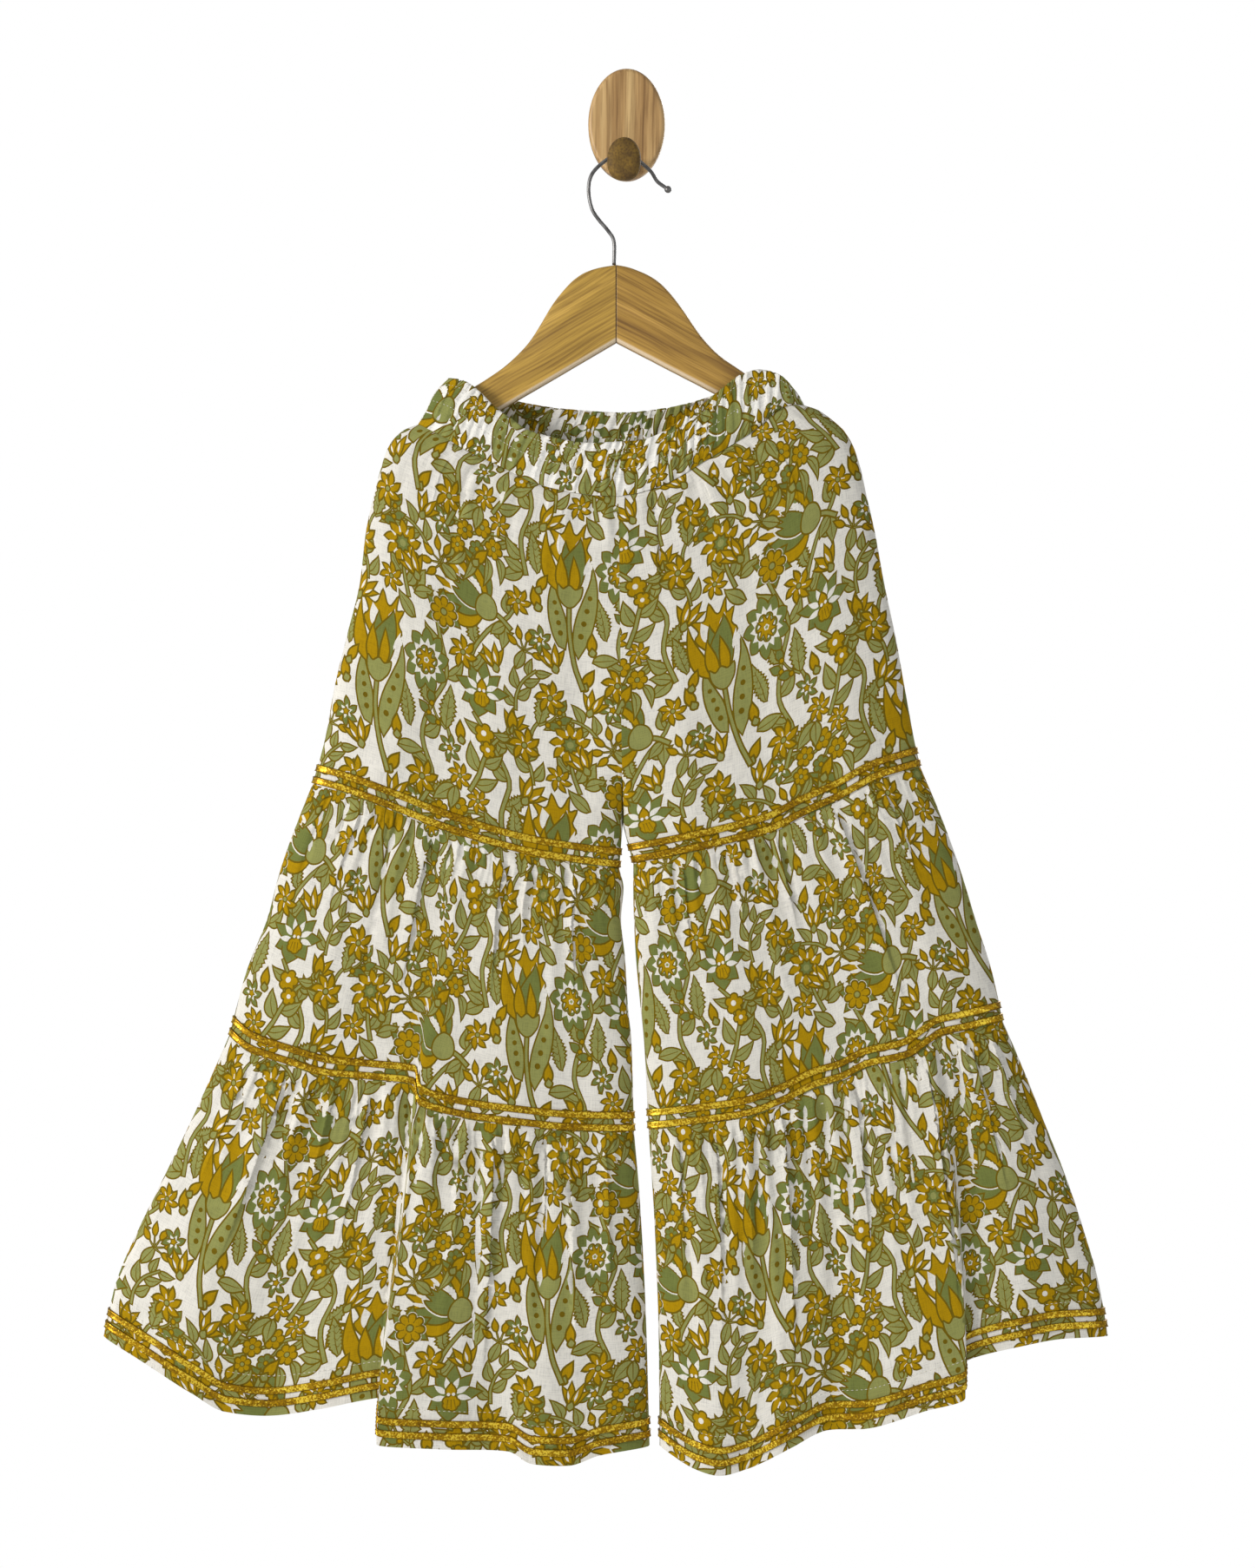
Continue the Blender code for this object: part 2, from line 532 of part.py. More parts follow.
def ring_directions(line, leg):
    ahead = np.roll(line, -1, axis=0) - np.roll(line, 1, axis=0)
    turn = 1.0 if leg == "left" else -1.0
    normal = np.stack([turn * ahead[:, 1], -turn * ahead[:, 0], np.zeros(len(line))], axis=-1)
    return normal / np.linalg.norm(normal, axis=-1, keepdims=True)


def make_braid(tier, leg, row, height):
    front = panel_grid(tier, leg, "front")
    back = panel_grid(tier, leg, "back")
    low = ring_line(front, back, height - BRAID_WIDTH / 2)
    high = ring_line(front, back, height + BRAID_WIDTH / 2)
    middle = ring_line(front, back, height)
    out = ring_directions(middle, leg)
    sides = [low + out * BRAID_GAP, low + out * (BRAID_GAP + BRAID_THICK),
             high + out * (BRAID_GAP + BRAID_THICK), high + out * BRAID_GAP]
    count = len(low)
    points = np.concatenate(sides)
    faces = []
    for k in range(count):
        after = (k + 1) % count
        for side in range(4):
            here = side * count
            there = (side + 1) % 4 * count
            faces.append((here + k, here + after, there + after))
            faces.append((here + k, there + after, there + k))
    seam = {"upper": "seam1", "middle": "seam2", "lower": "hem"}[tier]
    add_object(f"braid_{seam}_{leg}_{row}", points, faces, GOLD_BRAID, 0.35, 0.8)


def loft_solid(rings):
    """Points and faces of a closed solid through equal rings of points."""
    count = len(rings[0])
    points = [point for ring in rings for point in ring]
    faces = []
    for r in range(len(rings) - 1):
        for k in range(count):
            a = r * count + k
            b = r * count + (k + 1) % count
            faces.append((a, b, b + count))
            faces.append((a, b + count, a + count))
    faces.append(tuple(range(count - 1, -1, -1)))
    last = (len(rings) - 1) * count
    faces.append(tuple(range(last, last + count)))
    return points, faces


def arm_section(x, top, bottom, half, bevel):
    near = HANG_Y - half
    far = HANG_Y + half
    return [(x, near, bottom + bevel), (x, near, top - bevel), (x, near + bevel, top),
            (x, far - bevel, top), (x, far, top - bevel), (x, far, bottom + bevel),
            (x, far - bevel, bottom), (x, near + bevel, bottom)]


def make_hanger_arm(name, stations):
    reach = abs(stations[-1][0] * MM - HANGER_X)
    rings = []
    for x, top, bottom in stations:
        share = abs(x * MM - HANGER_X) / reach
        half = (HANGER_THICK + (HANGER_TIP_THICK - HANGER_THICK) * share ** 1.5) / 2
        bevel = min(HANGER_BEVEL, half * 0.6, (top - bottom) * MM * 0.35)
        rings.append(arm_section(x * MM, top * MM, bottom * MM, half, bevel))
    points, faces = loft_solid(rings)
    add_object(name, points, faces, MANGO_WOOD, 0.45)


def wire_points():
    line = np.array(WIRE_LINE) * MM
    shares = length_shares(line)
    knots = np.concatenate([[2 * line[0] - line[1]], line, [2 * line[-1] - line[-2]]])
    places = []
    for share in np.linspace(0.0, 1.0, WIRE_STEPS + 1):
        i = min(int(np.searchsorted(shares, share, side="right")) - 1, len(line) - 2)
        t = (share - shares[i]) / (shares[i + 1] - shares[i])
        a, b, c, d = knots[i:i + 4]
        x, z = 0.5 * (2 * b + (c - a) * t + (2 * a - 5 * b + 4 * c - d) * t ** 2
                      + (3 * b - a - 3 * c + d) * t ** 3)
        places.append((x, z))
    return np.array(places)


def make_hook():
    """Round wire with a small ball end, swept in the plane y = HANG_Y."""
    line = wire_points()
    along = np.gradient(line, axis=0)
    along /= np.linalg.norm(along, axis=1, keepdims=True)
    along[0] = (0.0, 1.0)
    end = line[-1]
    radii = [WIRE_RADIUS] * len(line)
    ball = []
    for step in range(1, 6):
        angle = math.radians(28 + 29 * (step - 1))
        ball.append((end + along[-1] * WIRE_BALL_RADIUS * (1 - math.cos(angle)),
                     WIRE_BALL_RADIUS * math.sin(angle)))
    rings = []
    sides = 10
    for place, way, radius in [*zip(line, along, radii), *((p, along[-1], r) for p, r in ball)]:
        ring = []
        for k in range(sides):
            turn = 2 * math.pi * k / sides
            aside = radius * math.cos(turn)
            x = place[0] - way[1] * aside
            z = place[1] + way[0] * aside
            ring.append((x, HANG_Y + radius * math.sin(turn), z))
        rings.append(ring)
    points, faces = loft_solid(rings)
    add_object("hook_wire", points, faces, STEEL, 0.3, 1.0, smooth=True)


def ellipse_ring(y, width, height):
    turns = [2 * math.pi * k / PLAQUE_SIDES for k in range(PLAQUE_SIDES)]
    return [(width / 2 * math.cos(a), y, PLAQUE_Z + height / 2 * math.sin(a)) for a in turns]


def make_plaque():
    inset = 2 * PLAQUE_BEVEL
    rings = [ellipse_ring(0.0, PLAQUE_WIDTH, PLAQUE_HEIGHT),
             ellipse_ring(-PLAQUE_THICK + PLAQUE_BEVEL, PLAQUE_WIDTH, PLAQUE_HEIGHT),
             ellipse_ring(-PLAQUE_THICK, PLAQUE_WIDTH - inset, PLAQUE_HEIGHT - inset)]
    points, faces = loft_solid(rings)
    add_object("wall_plaque", points, faces, MANGO_WOOD, 0.5)


def peg_ring(y, half_width, half_height, middle):
    ring = []
    for k in range(PEG_SIDES):
        turn = 2 * math.pi * k / PEG_SIDES
        power = 2.0 / (PEG_LOWER_POWER if math.sin(turn) < -1e-9 else 2.0)
        aside = math.copysign(abs(math.cos(turn)) ** power, math.cos(turn))
        up = math.copysign(abs(math.sin(turn)) ** power, math.sin(turn))
        ring.append((PEG_X + half_width * MM * aside, y * MM, (middle + half_height * up) * MM))
    return ring


def make_peg():
    rings = [peg_ring(*row) for row in PEG_PROFILE]
    points, faces = loft_solid(rings)
    add_object("wall_peg", points, faces, MANGO_WOOD, 0.4, smooth=True)


def main():
    clear_scene()
    for face in ("front", "back"):
        make_band(face)
        for leg in ("left", "right"):
            for tier in ("upper", "middle", "lower"):
                make_panel(tier, leg, face)
    for leg in ("left", "right"):
        for tier in ("upper", "middle", "lower"):
            start = HEM_ALLOWANCE if tier == "lower" else BRAID_ROW_LOW
            make_braid(tier, leg, "low", start)
            make_braid(tier, leg, "high", start + BRAID_PITCH)
    make_hanger_arm("hanger_left", HANGER_LEFT)
    make_hanger_arm("hanger_right", HANGER_RIGHT)
    make_hook()
    make_plaque()
    make_peg()


main()
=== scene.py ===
"""Looks of the child's sharara trousers, their hanger and wall peg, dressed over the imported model.

Metres, +Z up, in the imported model's frame. Tables are in millimetres and are turned into metres
where they are read. Left and right are as seen from the front; u runs from a panel's outer side to
its inner side and v from its top to its bottom.
"""
import math
import random

import bmesh
import bpy
import numpy as np
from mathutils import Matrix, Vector
from mathutils.geometry import delaunay_2d_cdt


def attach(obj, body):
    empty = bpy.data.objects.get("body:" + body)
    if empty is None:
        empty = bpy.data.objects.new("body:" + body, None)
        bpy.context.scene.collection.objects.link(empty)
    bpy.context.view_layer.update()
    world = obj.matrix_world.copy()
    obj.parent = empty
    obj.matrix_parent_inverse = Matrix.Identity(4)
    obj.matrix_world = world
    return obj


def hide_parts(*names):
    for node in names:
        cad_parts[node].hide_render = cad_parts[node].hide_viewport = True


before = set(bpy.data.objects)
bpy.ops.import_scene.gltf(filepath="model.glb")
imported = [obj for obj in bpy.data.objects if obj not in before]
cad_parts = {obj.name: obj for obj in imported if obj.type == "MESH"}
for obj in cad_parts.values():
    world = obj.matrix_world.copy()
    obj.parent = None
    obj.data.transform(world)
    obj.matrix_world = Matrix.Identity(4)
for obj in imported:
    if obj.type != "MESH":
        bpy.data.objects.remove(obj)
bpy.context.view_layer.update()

MM = 0.001

# The garment's form. Sizes and tables are the solids' own, but the cloth has its real thickness
HANG_Y = -30.0 * MM
CLOTH_THICK = 0.45 * MM
WAIST_DEPTH = 11.8 * MM
BAND_DEPTH = 13.2 * MM
SEAM_1_DEPTH = 12.5 * MM
SEAM_2_DEPTH = 14.0 * MM
HEM_DEPTH = 16.0 * MM
SIDE_CROWDING = 0.08
SIDE_ROUND = 0.32
SIDE_POWER = 3.0
CROTCH_V = 0.885
GRID_COLUMNS = 32
BRAID_ROW_LOW = 3.0 * MM
BRAID_PITCH = 7.9 * MM
HEM_ALLOWANCE = 8.0 * MM
BRAID_WIDTH = 4.8 * MM

# Seam lines, rows from the outer side to the leg's inner side. Columns: x, z, and for the two rows at
# the pressed fold, 0 or 1 for its outer or inner line
WAIST_FRONT = {
    "left": (
        (-133, -189), (-117.5, -197), (-96, -209.5), (-82, -215.5), (-56, -228), (-19, -235),
        (-5.2, -235.5),
    ),
    "right": (
        (113, -177), (104, -177.5), (96, -180.5), (82, -193), (64, -204.5), (49, -213.5),
        (26, -227), (7, -233.5), (-5.2, -235.5),
    ),
}
WAIST_BACK = {
    "left": ((-133, -189), (-110, -196.5), (-82, -204.5), (-50, -211), (-5.2, -215)),
    "right": ((113, -177), (104, -179.5), (82, -191), (50, -206), (20, -213), (-5.2, -215)),
}
SEAM_1 = {
    "left": (
        (-200, -418), (-180, -423.5), (-151, -434), (-121, -446), (-92, -455.5), (-62, -463.5),
        (-33, -468.5), (-4.7, -472),
    ),
    "right": (
        (187, -407), (158, -416), (136, -428), (114, -438), (92, -449), (62, -457), (32, -463.5),
        (4.3, -469),
    ),
}
SEAM_2_FRONT = {
    "left": (
        (-253, -578), (-240, -588), (-216, -596), (-189, -603.5), (-162, -606), (-137, -609, 0),
        (-130, -621.5, 1), (-103, -630), (-71, -634.5), (-33, -638.5), (4.7, -639.5),
    ),
    "right": (
        (239.5, -569), (217, -574), (200, -578, 0), (191, -583, 1), (178, -592), (153, -598),
        (137, -606), (120, -611), (99, -621), (75, -629.5), (49, -633.5), (14, -638),
    ),
}
SEAM_2_BACK = {
    "left": ((-253, -578), (-216, -594), (-162, -610), (-103, -626), (-50, -635), (4.7, -639.5)),
    "right": ((239.5, -569), (200, -582), (150, -602), (99, -619), (49, -632), (14, -638)),
}
HEM_FRONT = {
    "left": (
        (-333, -769), (-301, -787.5), (-275, -803.5), (-254, -815.5), (-228, -818.5), (-195, -814),
        (-160.5, -806.5, 0), (-152.5, -835, 1), (-118.5, -838), (-75, -840.5), (-60, -848),
        (-37, -849.5), (-17, -843.5), (14.6, -839),
    ),
    "right": (
        (306.5, -769), (278.5, -769.5), (246, -774.5), (215.5, -786, 0), (210, -806, 1),
        (187, -814.5), (148, -826.5), (128, -827.5), (104, -838), (75, -852), (59, -855.5),
        (45, -852.5), (21, -839),
    ),
}
HEM_BACK = {
    "left": (
        (-333, -769), (-290, -786), (-240, -797), (-196, -801), (-150, -806), (-100, -822),
        (-45, -832), (14.6, -839),
    ),
    "right": (
        (306.5, -769), (260, -768), (215, -775), (170, -800), (120, -818), (70, -836), (21, -839),
    ),
}
FOLD_COLUMNS = {"left": (15, 16), "right": (10, 11)}

# Side edges, rows from the top of each tier to its bottom. Columns: x, z
OUTER_EDGE = {
    ("upper", "left"): (
        (-133, -189), (-142.5, -193), (-151.5, -203), (-156.5, -217), (-160.5, -232), (-166, -257),
        (-170, -290), (-178, -323), (-186, -356), (-192, -389), (-200, -418),
    ),
    ("upper", "right"): (
        (113, -177), (121, -179.5), (130, -185.5), (138.5, -193), (145, -204.5), (149, -217),
        (153.5, -237.5), (158, -257), (164, -290), (171, -323), (177, -356), (183, -389),
        (187, -407),
    ),
    ("middle", "left"): (
        (-200, -418), (-208, -438), (-220, -471), (-229, -504), (-242, -537), (-253, -578),
    ),
    ("middle", "right"): (
        (187, -407), (200, -438), (212, -471), (222, -504), (232.5, -537), (239.5, -569),
    ),
    ("lower", "left"): (
        (-253, -578), (-264, -603), (-279, -636), (-295, -669), (-311, -702), (-325, -735),
        (-333, -769),
    ),
    ("lower", "right"): (
        (239.5, -569), (254, -603), (267, -636), (280, -669), (291, -702), (300.5, -735),
        (306.5, -769),
    ),
}
INNER_EDGE = {
    ("upper", "left", "front"): ((-5.2, -235.5), (-2.5, -444), (-4.7, -472)),
    ("upper", "left", "back"): ((-5.2, -215), (-2.5, -444), (-4.7, -472)),
    ("upper", "right", "front"): ((-5.2, -235.5), (-2.5, -444), (4.3, -469)),
    ("upper", "right", "back"): ((-5.2, -215), (-2.5, -444), (4.3, -469)),
    ("middle", "left"): (
        (-4.7, -472), (-2, -484), (-3.5, -504), (-1, -529), (1, -562), (3, -581), (4.7, -639.5),
    ),
    ("middle", "right"): ((4.3, -469), (4.2, -484), (5.2, -517), (9, -562), (11, -581), (14, -638)),
    ("lower", "left"): ((4.7, -639.5), (8.5, -684), (12.4, -760), (14.6, -839)),
    ("lower", "right"): ((14, -638), (18, -703), (20.5, -775), (21, -839)),
}

# Waistband edges. Columns: x, z, left to right or top to bottom
BAND_TOP_FRONT = (
    (-113.5, -159.5), (-104, -161.5), (-97, -165.5), (-83, -179), (-74, -185.5), (-62, -193.5),
    (-39, -199.5), (-25, -201.5), (0, -200.5), (13.5, -198.5), (26, -192.5), (36, -185.5),
    (46, -178.5), (58, -169), (73, -158), (84, -155), (96.5, -158), (109.5, -170.5),
)
BAND_TOP_BACK = (
    (-113.5, -159.5), (-103, -162), (-85, -168.5), (-62, -174.5), (-37, -178), (-2.5, -180),
    (26, -177), (45, -172.5), (58, -168), (73, -161), (84, -157.5), (96.5, -159.5),
    (109.5, -170.5),
)
BAND_SIDE_LEFT = ((-113.5, -159.5), (-123, -170.5), (-128, -181), (-133, -189))
BAND_SIDE_RIGHT = ((109.5, -170.5), (113, -177))

TIER_DEPTHS = {
    "upper": (WAIST_DEPTH, SEAM_1_DEPTH),
    "middle": (SEAM_1_DEPTH, SEAM_2_DEPTH),
    "lower": (SEAM_2_DEPTH, HEM_DEPTH),
}
# Forward step of the pressed fold. Columns: step at the tier's top and bottom in mm, share of the panel
# over which it dies out, overlap at the top and bottom in mm
FOLD_STEP = {
    ("middle", "left"): (0.0, 2.5, 0.30, 0.0, 2.0),
    ("lower", "left"): (2.5, 9.0, 0.34, 2.0, 7.0),
    ("middle", "right"): (0.0, 1.5, 0.30, 0.0, 1.0),
    ("lower", "right"): (1.5, 8.0, 0.30, 1.0, 5.0),
}
# Broad soft folds. Columns: u at top, u at bottom, v where it starts, v where it is full,
# half width in u, height in mm, outward positive
BROAD_FOLDS = {
    ("upper", "left", "front"): (
        (0.30, 0.22, 0.0, 0.9, 0.08, 2.2), (0.62, 0.55, 0.0, 0.8, 0.09, 1.8),
        (0.86, 0.85, 0.1, 0.7, 0.06, -1.6),
    ),
    ("upper", "right", "front"): (
        (0.25, 0.20, 0.0, 0.9, 0.08, 2.0), (0.55, 0.50, 0.1, 0.8, 0.08, -1.6),
        (0.80, 0.78, 0.0, 0.8, 0.07, 1.6),
    ),
    ("upper", "left", "back"): ((0.35, 0.30, 0.0, 0.9, 0.09, 2.2), (0.72, 0.66, 0.0, 0.8, 0.09, -1.8)),
    ("upper", "right", "back"): ((0.30, 0.28, 0.0, 0.9, 0.09, -2.0), (0.66, 0.62, 0.0, 0.8, 0.09, 2.0)),
    ("middle", "left", "front"): (
        (0.25, 0.20, 0.0, 0.9, 0.08, 2.4), (0.68, 0.70, 0.0, 0.9, 0.07, 2.0),
        (0.86, 0.87, 0.1, 0.9, 0.05, -1.8),
    ),
    ("middle", "right", "front"): (
        (0.22, 0.18, 0.0, 0.9, 0.07, 2.4), (0.50, 0.48, 0.0, 0.8, 0.07, -2.0),
        (0.72, 0.74, 0.0, 0.9, 0.07, 2.0),
    ),
    ("middle", "left", "back"): ((0.30, 0.28, 0.0, 0.9, 0.08, 2.4), (0.60, 0.62, 0.0, 0.9, 0.08, -2.0)),
    ("middle", "right", "back"): ((0.34, 0.30, 0.0, 0.9, 0.08, 2.2), (0.66, 0.64, 0.0, 0.9, 0.08, 2.0)),
    ("lower", "left", "front"): (
        (0.16, 0.14, 0.0, 0.9, 0.06, 3.5), (0.32, 0.30, 0.1, 1.0, 0.05, -3.5),
        (0.68, 0.70, 0.0, 0.9, 0.05, -3.0), (0.80, 0.80, 0.1, 1.0, 0.05, 3.5),
    ),
    ("lower", "right", "front"): (
        (0.13, 0.14, 0.0, 0.9, 0.05, 3.5), (0.56, 0.56, 0.0, 0.9, 0.05, -3.5),
        (0.68, 0.70, 0.1, 1.0, 0.05, 3.0), (0.84, 0.86, 0.0, 0.9, 0.05, 4.0),
    ),
    ("lower", "left", "back"): (
        (0.18, 0.16, 0.0, 0.9, 0.06, 4.0), (0.38, 0.36, 0.0, 0.9, 0.06, -3.5),
        (0.58, 0.58, 0.1, 1.0, 0.06, 4.0), (0.80, 0.80, 0.0, 0.9, 0.06, -3.0),
    ),
    ("lower", "right", "back"): (
        (0.16, 0.14, 0.0, 0.9, 0.06, -3.0), (0.36, 0.34, 0.0, 0.9, 0.06, 4.0),
        (0.56, 0.58, 0.1, 1.0, 0.06, -3.5), (0.78, 0.80, 0.0, 0.9, 0.06, 4.0),
    ),
}
# Sharp creases where the gathered cloth folds over itself. Columns: u at top, u at bottom, v where it
# ends, height in mm, width of its slope in mm, 1 or -1 for an edge that looks inwards or outwards
CREASES = {
    ("upper", "left", "front"): (
        (0.24, 0.21, 0.30, 0.8, 9, 1), (0.52, 0.50, 0.36, 0.9, 8, -1),
        (0.76, 0.77, 0.26, 0.8, 7, 1),
    ),
    ("upper", "right", "front"): (
        (0.28, 0.25, 0.34, 0.9, 9, -1), (0.60, 0.58, 0.28, 0.8, 8, 1),
        (0.85, 0.86, 0.40, 0.9, 7, -1),
    ),
    ("upper", "left", "back"): ((0.30, 0.27, 0.32, 0.9, 9, 1), (0.63, 0.62, 0.26, 0.8, 8, -1)),
    ("upper", "right", "back"): ((0.22, 0.20, 0.26, 0.8, 9, -1), (0.55, 0.54, 0.35, 0.9, 8, 1)),
    ("middle", "left", "front"): (
        (0.17, 0.14, 0.50, 1.2, 10, 1), (0.40, 0.38, 0.80, 1.3, 9, 1),
        (0.63, 0.64, 0.62, 1.7, 9, 1), (0.71, 0.73, 0.42, 1.2, 7, -1),
        (0.85, 0.86, 0.66, 1.4, 8, 1),
    ),
    ("middle", "right", "front"): (
        (0.15, 0.13, 0.46, 1.2, 9, -1), (0.32, 0.31, 0.92, 1.8, 12, -1),
        (0.53, 0.54, 0.45, 1.3, 8, -1), (0.67, 0.68, 0.62, 1.6, 9, 1),
        (0.84, 0.85, 0.50, 1.2, 7, -1),
    ),
    ("middle", "left", "back"): (
        (0.22, 0.20, 0.60, 1.5, 10, -1), (0.44, 0.43, 0.45, 1.2, 8, 1),
        (0.58, 0.59, 0.75, 1.7, 10, 1), (0.79, 0.80, 0.52, 1.3, 8, -1),
    ),
    ("middle", "right", "back"): (
        (0.18, 0.16, 0.55, 1.3, 9, 1), (0.39, 0.38, 0.78, 1.7, 11, 1),
        (0.61, 0.62, 0.48, 1.3, 8, -1), (0.82, 0.82, 0.60, 1.4, 8, 1),
    ),
    ("lower", "left", "front"): (
        (0.07, 0.06, 0.50, 1.2, 8, 1), (0.16, 0.15, 0.66, 1.9, 13, 1),
        (0.28, 0.27, 0.48, 1.4, 9, -1), (0.36, 0.35, 0.60, 1.7, 10, 1),
        (0.60, 0.60, 0.45, 1.4, 9, -1), (0.67, 0.68, 0.86, 2.3, 14, 1),
        (0.79, 0.79, 0.42, 1.4, 8, 1), (0.85, 0.86, 0.74, 1.9, 10, -1),
        (0.93, 0.93, 0.58, 1.3, 7, 1),
    ),
    ("lower", "right", "front"): (
        (0.07, 0.06, 0.44, 1.2, 8, -1), (0.15, 0.13, 0.62, 1.7, 12, -1),
        (0.30, 0.29, 0.84, 2.3, 14, -1), (0.39, 0.39, 0.46, 1.4, 9, 1),
        (0.48, 0.48, 0.62, 1.6, 9, -1), (0.67, 0.675, 0.90, 2.3, 13, -1),
        (0.76, 0.77, 0.50, 1.4, 8, 1), (0.84, 0.85, 0.72, 1.8, 10, -1),
        (0.93, 0.93, 0.48, 1.2, 7, -1),
    ),
    ("lower", "left", "back"): (
        (0.12, 0.10, 0.58, 1.6, 11, -1), (0.24, 0.23, 0.80, 2.1, 13, -1),
        (0.37, 0.37, 0.45, 1.4, 9, 1), (0.49, 0.50, 0.70, 1.8, 11, -1),
        (0.66, 0.66, 0.52, 1.5, 9, 1), (0.75, 0.76, 0.84, 2.2, 13, 1),
        (0.89, 0.89, 0.55, 1.4, 8, -1),
    ),
    ("lower", "right", "back"): (
        (0.11, 0.10, 0.50, 1.5, 10, 1), (0.22, 0.20, 0.74, 2.0, 12, 1),
        (0.34, 0.34, 0.48, 1.4, 9, -1), (0.47, 0.48, 0.86, 2.2, 13, 1),
        (0.62, 0.62, 0.44, 1.4, 9, -1), (0.72, 0.73, 0.66, 1.8, 11, 1),
        (0.87, 0.87, 0.60, 1.5, 8, -1),
    ),
}
# Columns: v where a tier's creases start, factor on their heights
CREASE_TIERS = {"upper": (0.02, 1.0), "middle": (0.03, 1.3), "lower": (0.03, 1.3)}
# v over which a crease grows, width of its steep side in mm, share of its height that it leans over,
# how far its edge reaches on each side in mm, and the points kept across and along it in mm
CREASE_GROWTH = 0.06
CREASE_DROP = 1.3
CREASE_LEAN = 0.5
CREASE_EDGE = (2.6, 0.7)
CREASE_KEPT = (-1.2, -0.1, 0.6, 1.2)
CREASE_KEPT_STEP = 2.8
# What each panel was cut to, in mm. Columns: width at top, width at bottom, length
FLAT_CUT = {
    ("upper", "left"): (172, 212, 240), ("upper", "right"): (162, 204, 242),
    ("middle", "left"): (292, 292, 168), ("middle", "right"): (268, 268, 172),
    ("lower", "left"): (372, 372, 208), ("lower", "right"): (330, 330, 212),
}
BAND_CUT = (330, 34)
BAND_GATHERS = 42
# Small gathers under each seam. Columns: count, height in mm, half width in mm, shortest and longest v
SMALL_GATHERS = {
    "upper": ((34, 0.9, 1.8, 0.05, 0.18), (11, 1.1, 3.4, 0.25, 0.7)),
    "middle": ((50, 1.1, 1.8, 0.10, 0.36), (19, 1.4, 3.6, 0.5, 1.2)),
    "lower": ((66, 1.4, 1.8, 0.10, 0.38), (26, 2.1, 4.2, 0.5, 1.3)),
}
# v over which a gather grows, and how many of its half widths it reaches
GATHER_GROWTH = 0.045
GATHER_REACH = 3.0
# v where the legs begin to part, u over which relief fades at the side seams, and v over which the
# folds of the tier above carry on
PARTING_V = 0.70
SIDE_FADE = 0.10
FOLD_CARRY = 0.4
# Share of the pressed fold's width over which its overlap spreads
OVERLAP_SPREAD = 0.9
# How deep a sewn edge dips, how many times deeper at the waist, and v over which it rises again
SEAM_DIP = 0.7 * MM
WAIST_DIP_FACTOR = 2.2
SEAM_SPREAD = 0.012
ARC_ROWS = 25
ARC_COLUMNS = 241


def smooth_step(value):
    value = np.clip(value, 0.0, 1.0)
    return value * value * (3.0 - 2.0 * value)


def monotone_curve(where, known, values):
    """Cubic through the known values that never swings past them."""
    known = np.asarray(known, float)
    values = np.asarray(values, float)
    step = np.diff(known)
    slope = np.diff(values) / step
    tangent = np.empty(len(known))
    tangent[0] = slope[0]
    tangent[-1] = slope[-1]
    for i in range(1, len(known) - 1):
        same_way = slope[i - 1] * slope[i] > 0
        tangent[i] = 2.0 / (1.0 / slope[i - 1] + 1.0 / slope[i]) if same_way else 0.0
    where = np.clip(where, known[0], known[-1])
    i = np.clip(np.searchsorted(known, where, side="right") - 1, 0, len(step) - 1)
    t = (where - known[i]) / step[i]
    t2 = t * t
    t3 = t2 * t
    start = (2 * t3 - 3 * t2 + 1) * values[i] + (t3 - 2 * t2 + t) * step[i] * tangent[i]
    end = (3 * t2 - 2 * t3) * values[i + 1] + (t3 - t2) * step[i] * tangent[i + 1]
    return start + end


def column_places(count):
    """Shares across a panel, crowded towards its two sides."""
    t = np.arange(count + 1) / count
    return t - SIDE_CROWDING * np.sin(2.0 * math.pi * t)


def run_lengths(line):
    """Distance along a line of points, at each of them."""
    return np.concatenate([[0.0], np.cumsum(np.linalg.norm(np.diff(line, axis=0), axis=1))])


def length_shares(points):
    """Share of a line's length at each of its points."""
    runs = np.hypot(*np.diff(np.asarray(points, float), axis=0).T)
    along = np.concatenate([[0.0], np.cumsum(runs)])
    return along / along[-1]


def fold_span(leg):
    places = column_places(GRID_COLUMNS)
    return [places[k] for k in FOLD_COLUMNS[leg]]


def level_line(rows, leg, u):
    """Points in metres at shares u along a seam line, with its pinned rows at the pressed fold."""
    points = np.array([row[:2] for row in rows], float) * MM
    shares = length_shares(points)
    fold = fold_span(leg)
    pins = [(shares[i], fold[row[2]]) for i, row in enumerate(rows) if len(row) == 3]
    pins = [(0.0, 0.0)] + pins + [(1.0, 1.0)]
    places = np.interp(shares, [pin[0] for pin in pins], [pin[1] for pin in pins])
    x = monotone_curve(u, places, points[:, 0])
    z = monotone_curve(u, places, points[:, 1])
    return np.stack([x, z], axis=-1)


def edge_line(points, v, corner_v=None):
    """Points in metres at shares v along an edge, which may have one corner at a known v."""
    points = np.array(points, float) * MM
    if corner_v:
        places = np.array([0.0, corner_v, 1.0])
        return np.stack([np.interp(v, places, points[:, axis]) for axis in (0, 1)], axis=-1)
    places = length_shares(points)
    return np.stack([monotone_curve(v, places, points[:, axis]) for axis in (0, 1)], axis=-1)


def blend_patch(top, bottom, first, last, corners, u, v):
    """Coons patch between four edge lines, read at scattered places u, v."""
    u = u[:, None]
    v = v[:, None]
    across = (1 - v) * top + v * bottom
    down = (1 - u) * first + u * last
    shared = (1 - v) * ((1 - u) * corners[0] + u * corners[1])
    return across + down - shared - v * ((1 - u) * corners[2] + u * corners[3])


def side_round(u):
    share = np.clip(u / SIDE_ROUND, 0.0, 1.0)
    return (1.0 - (1.0 - share) ** SIDE_POWER) ** (1.0 / SIDE_POWER)


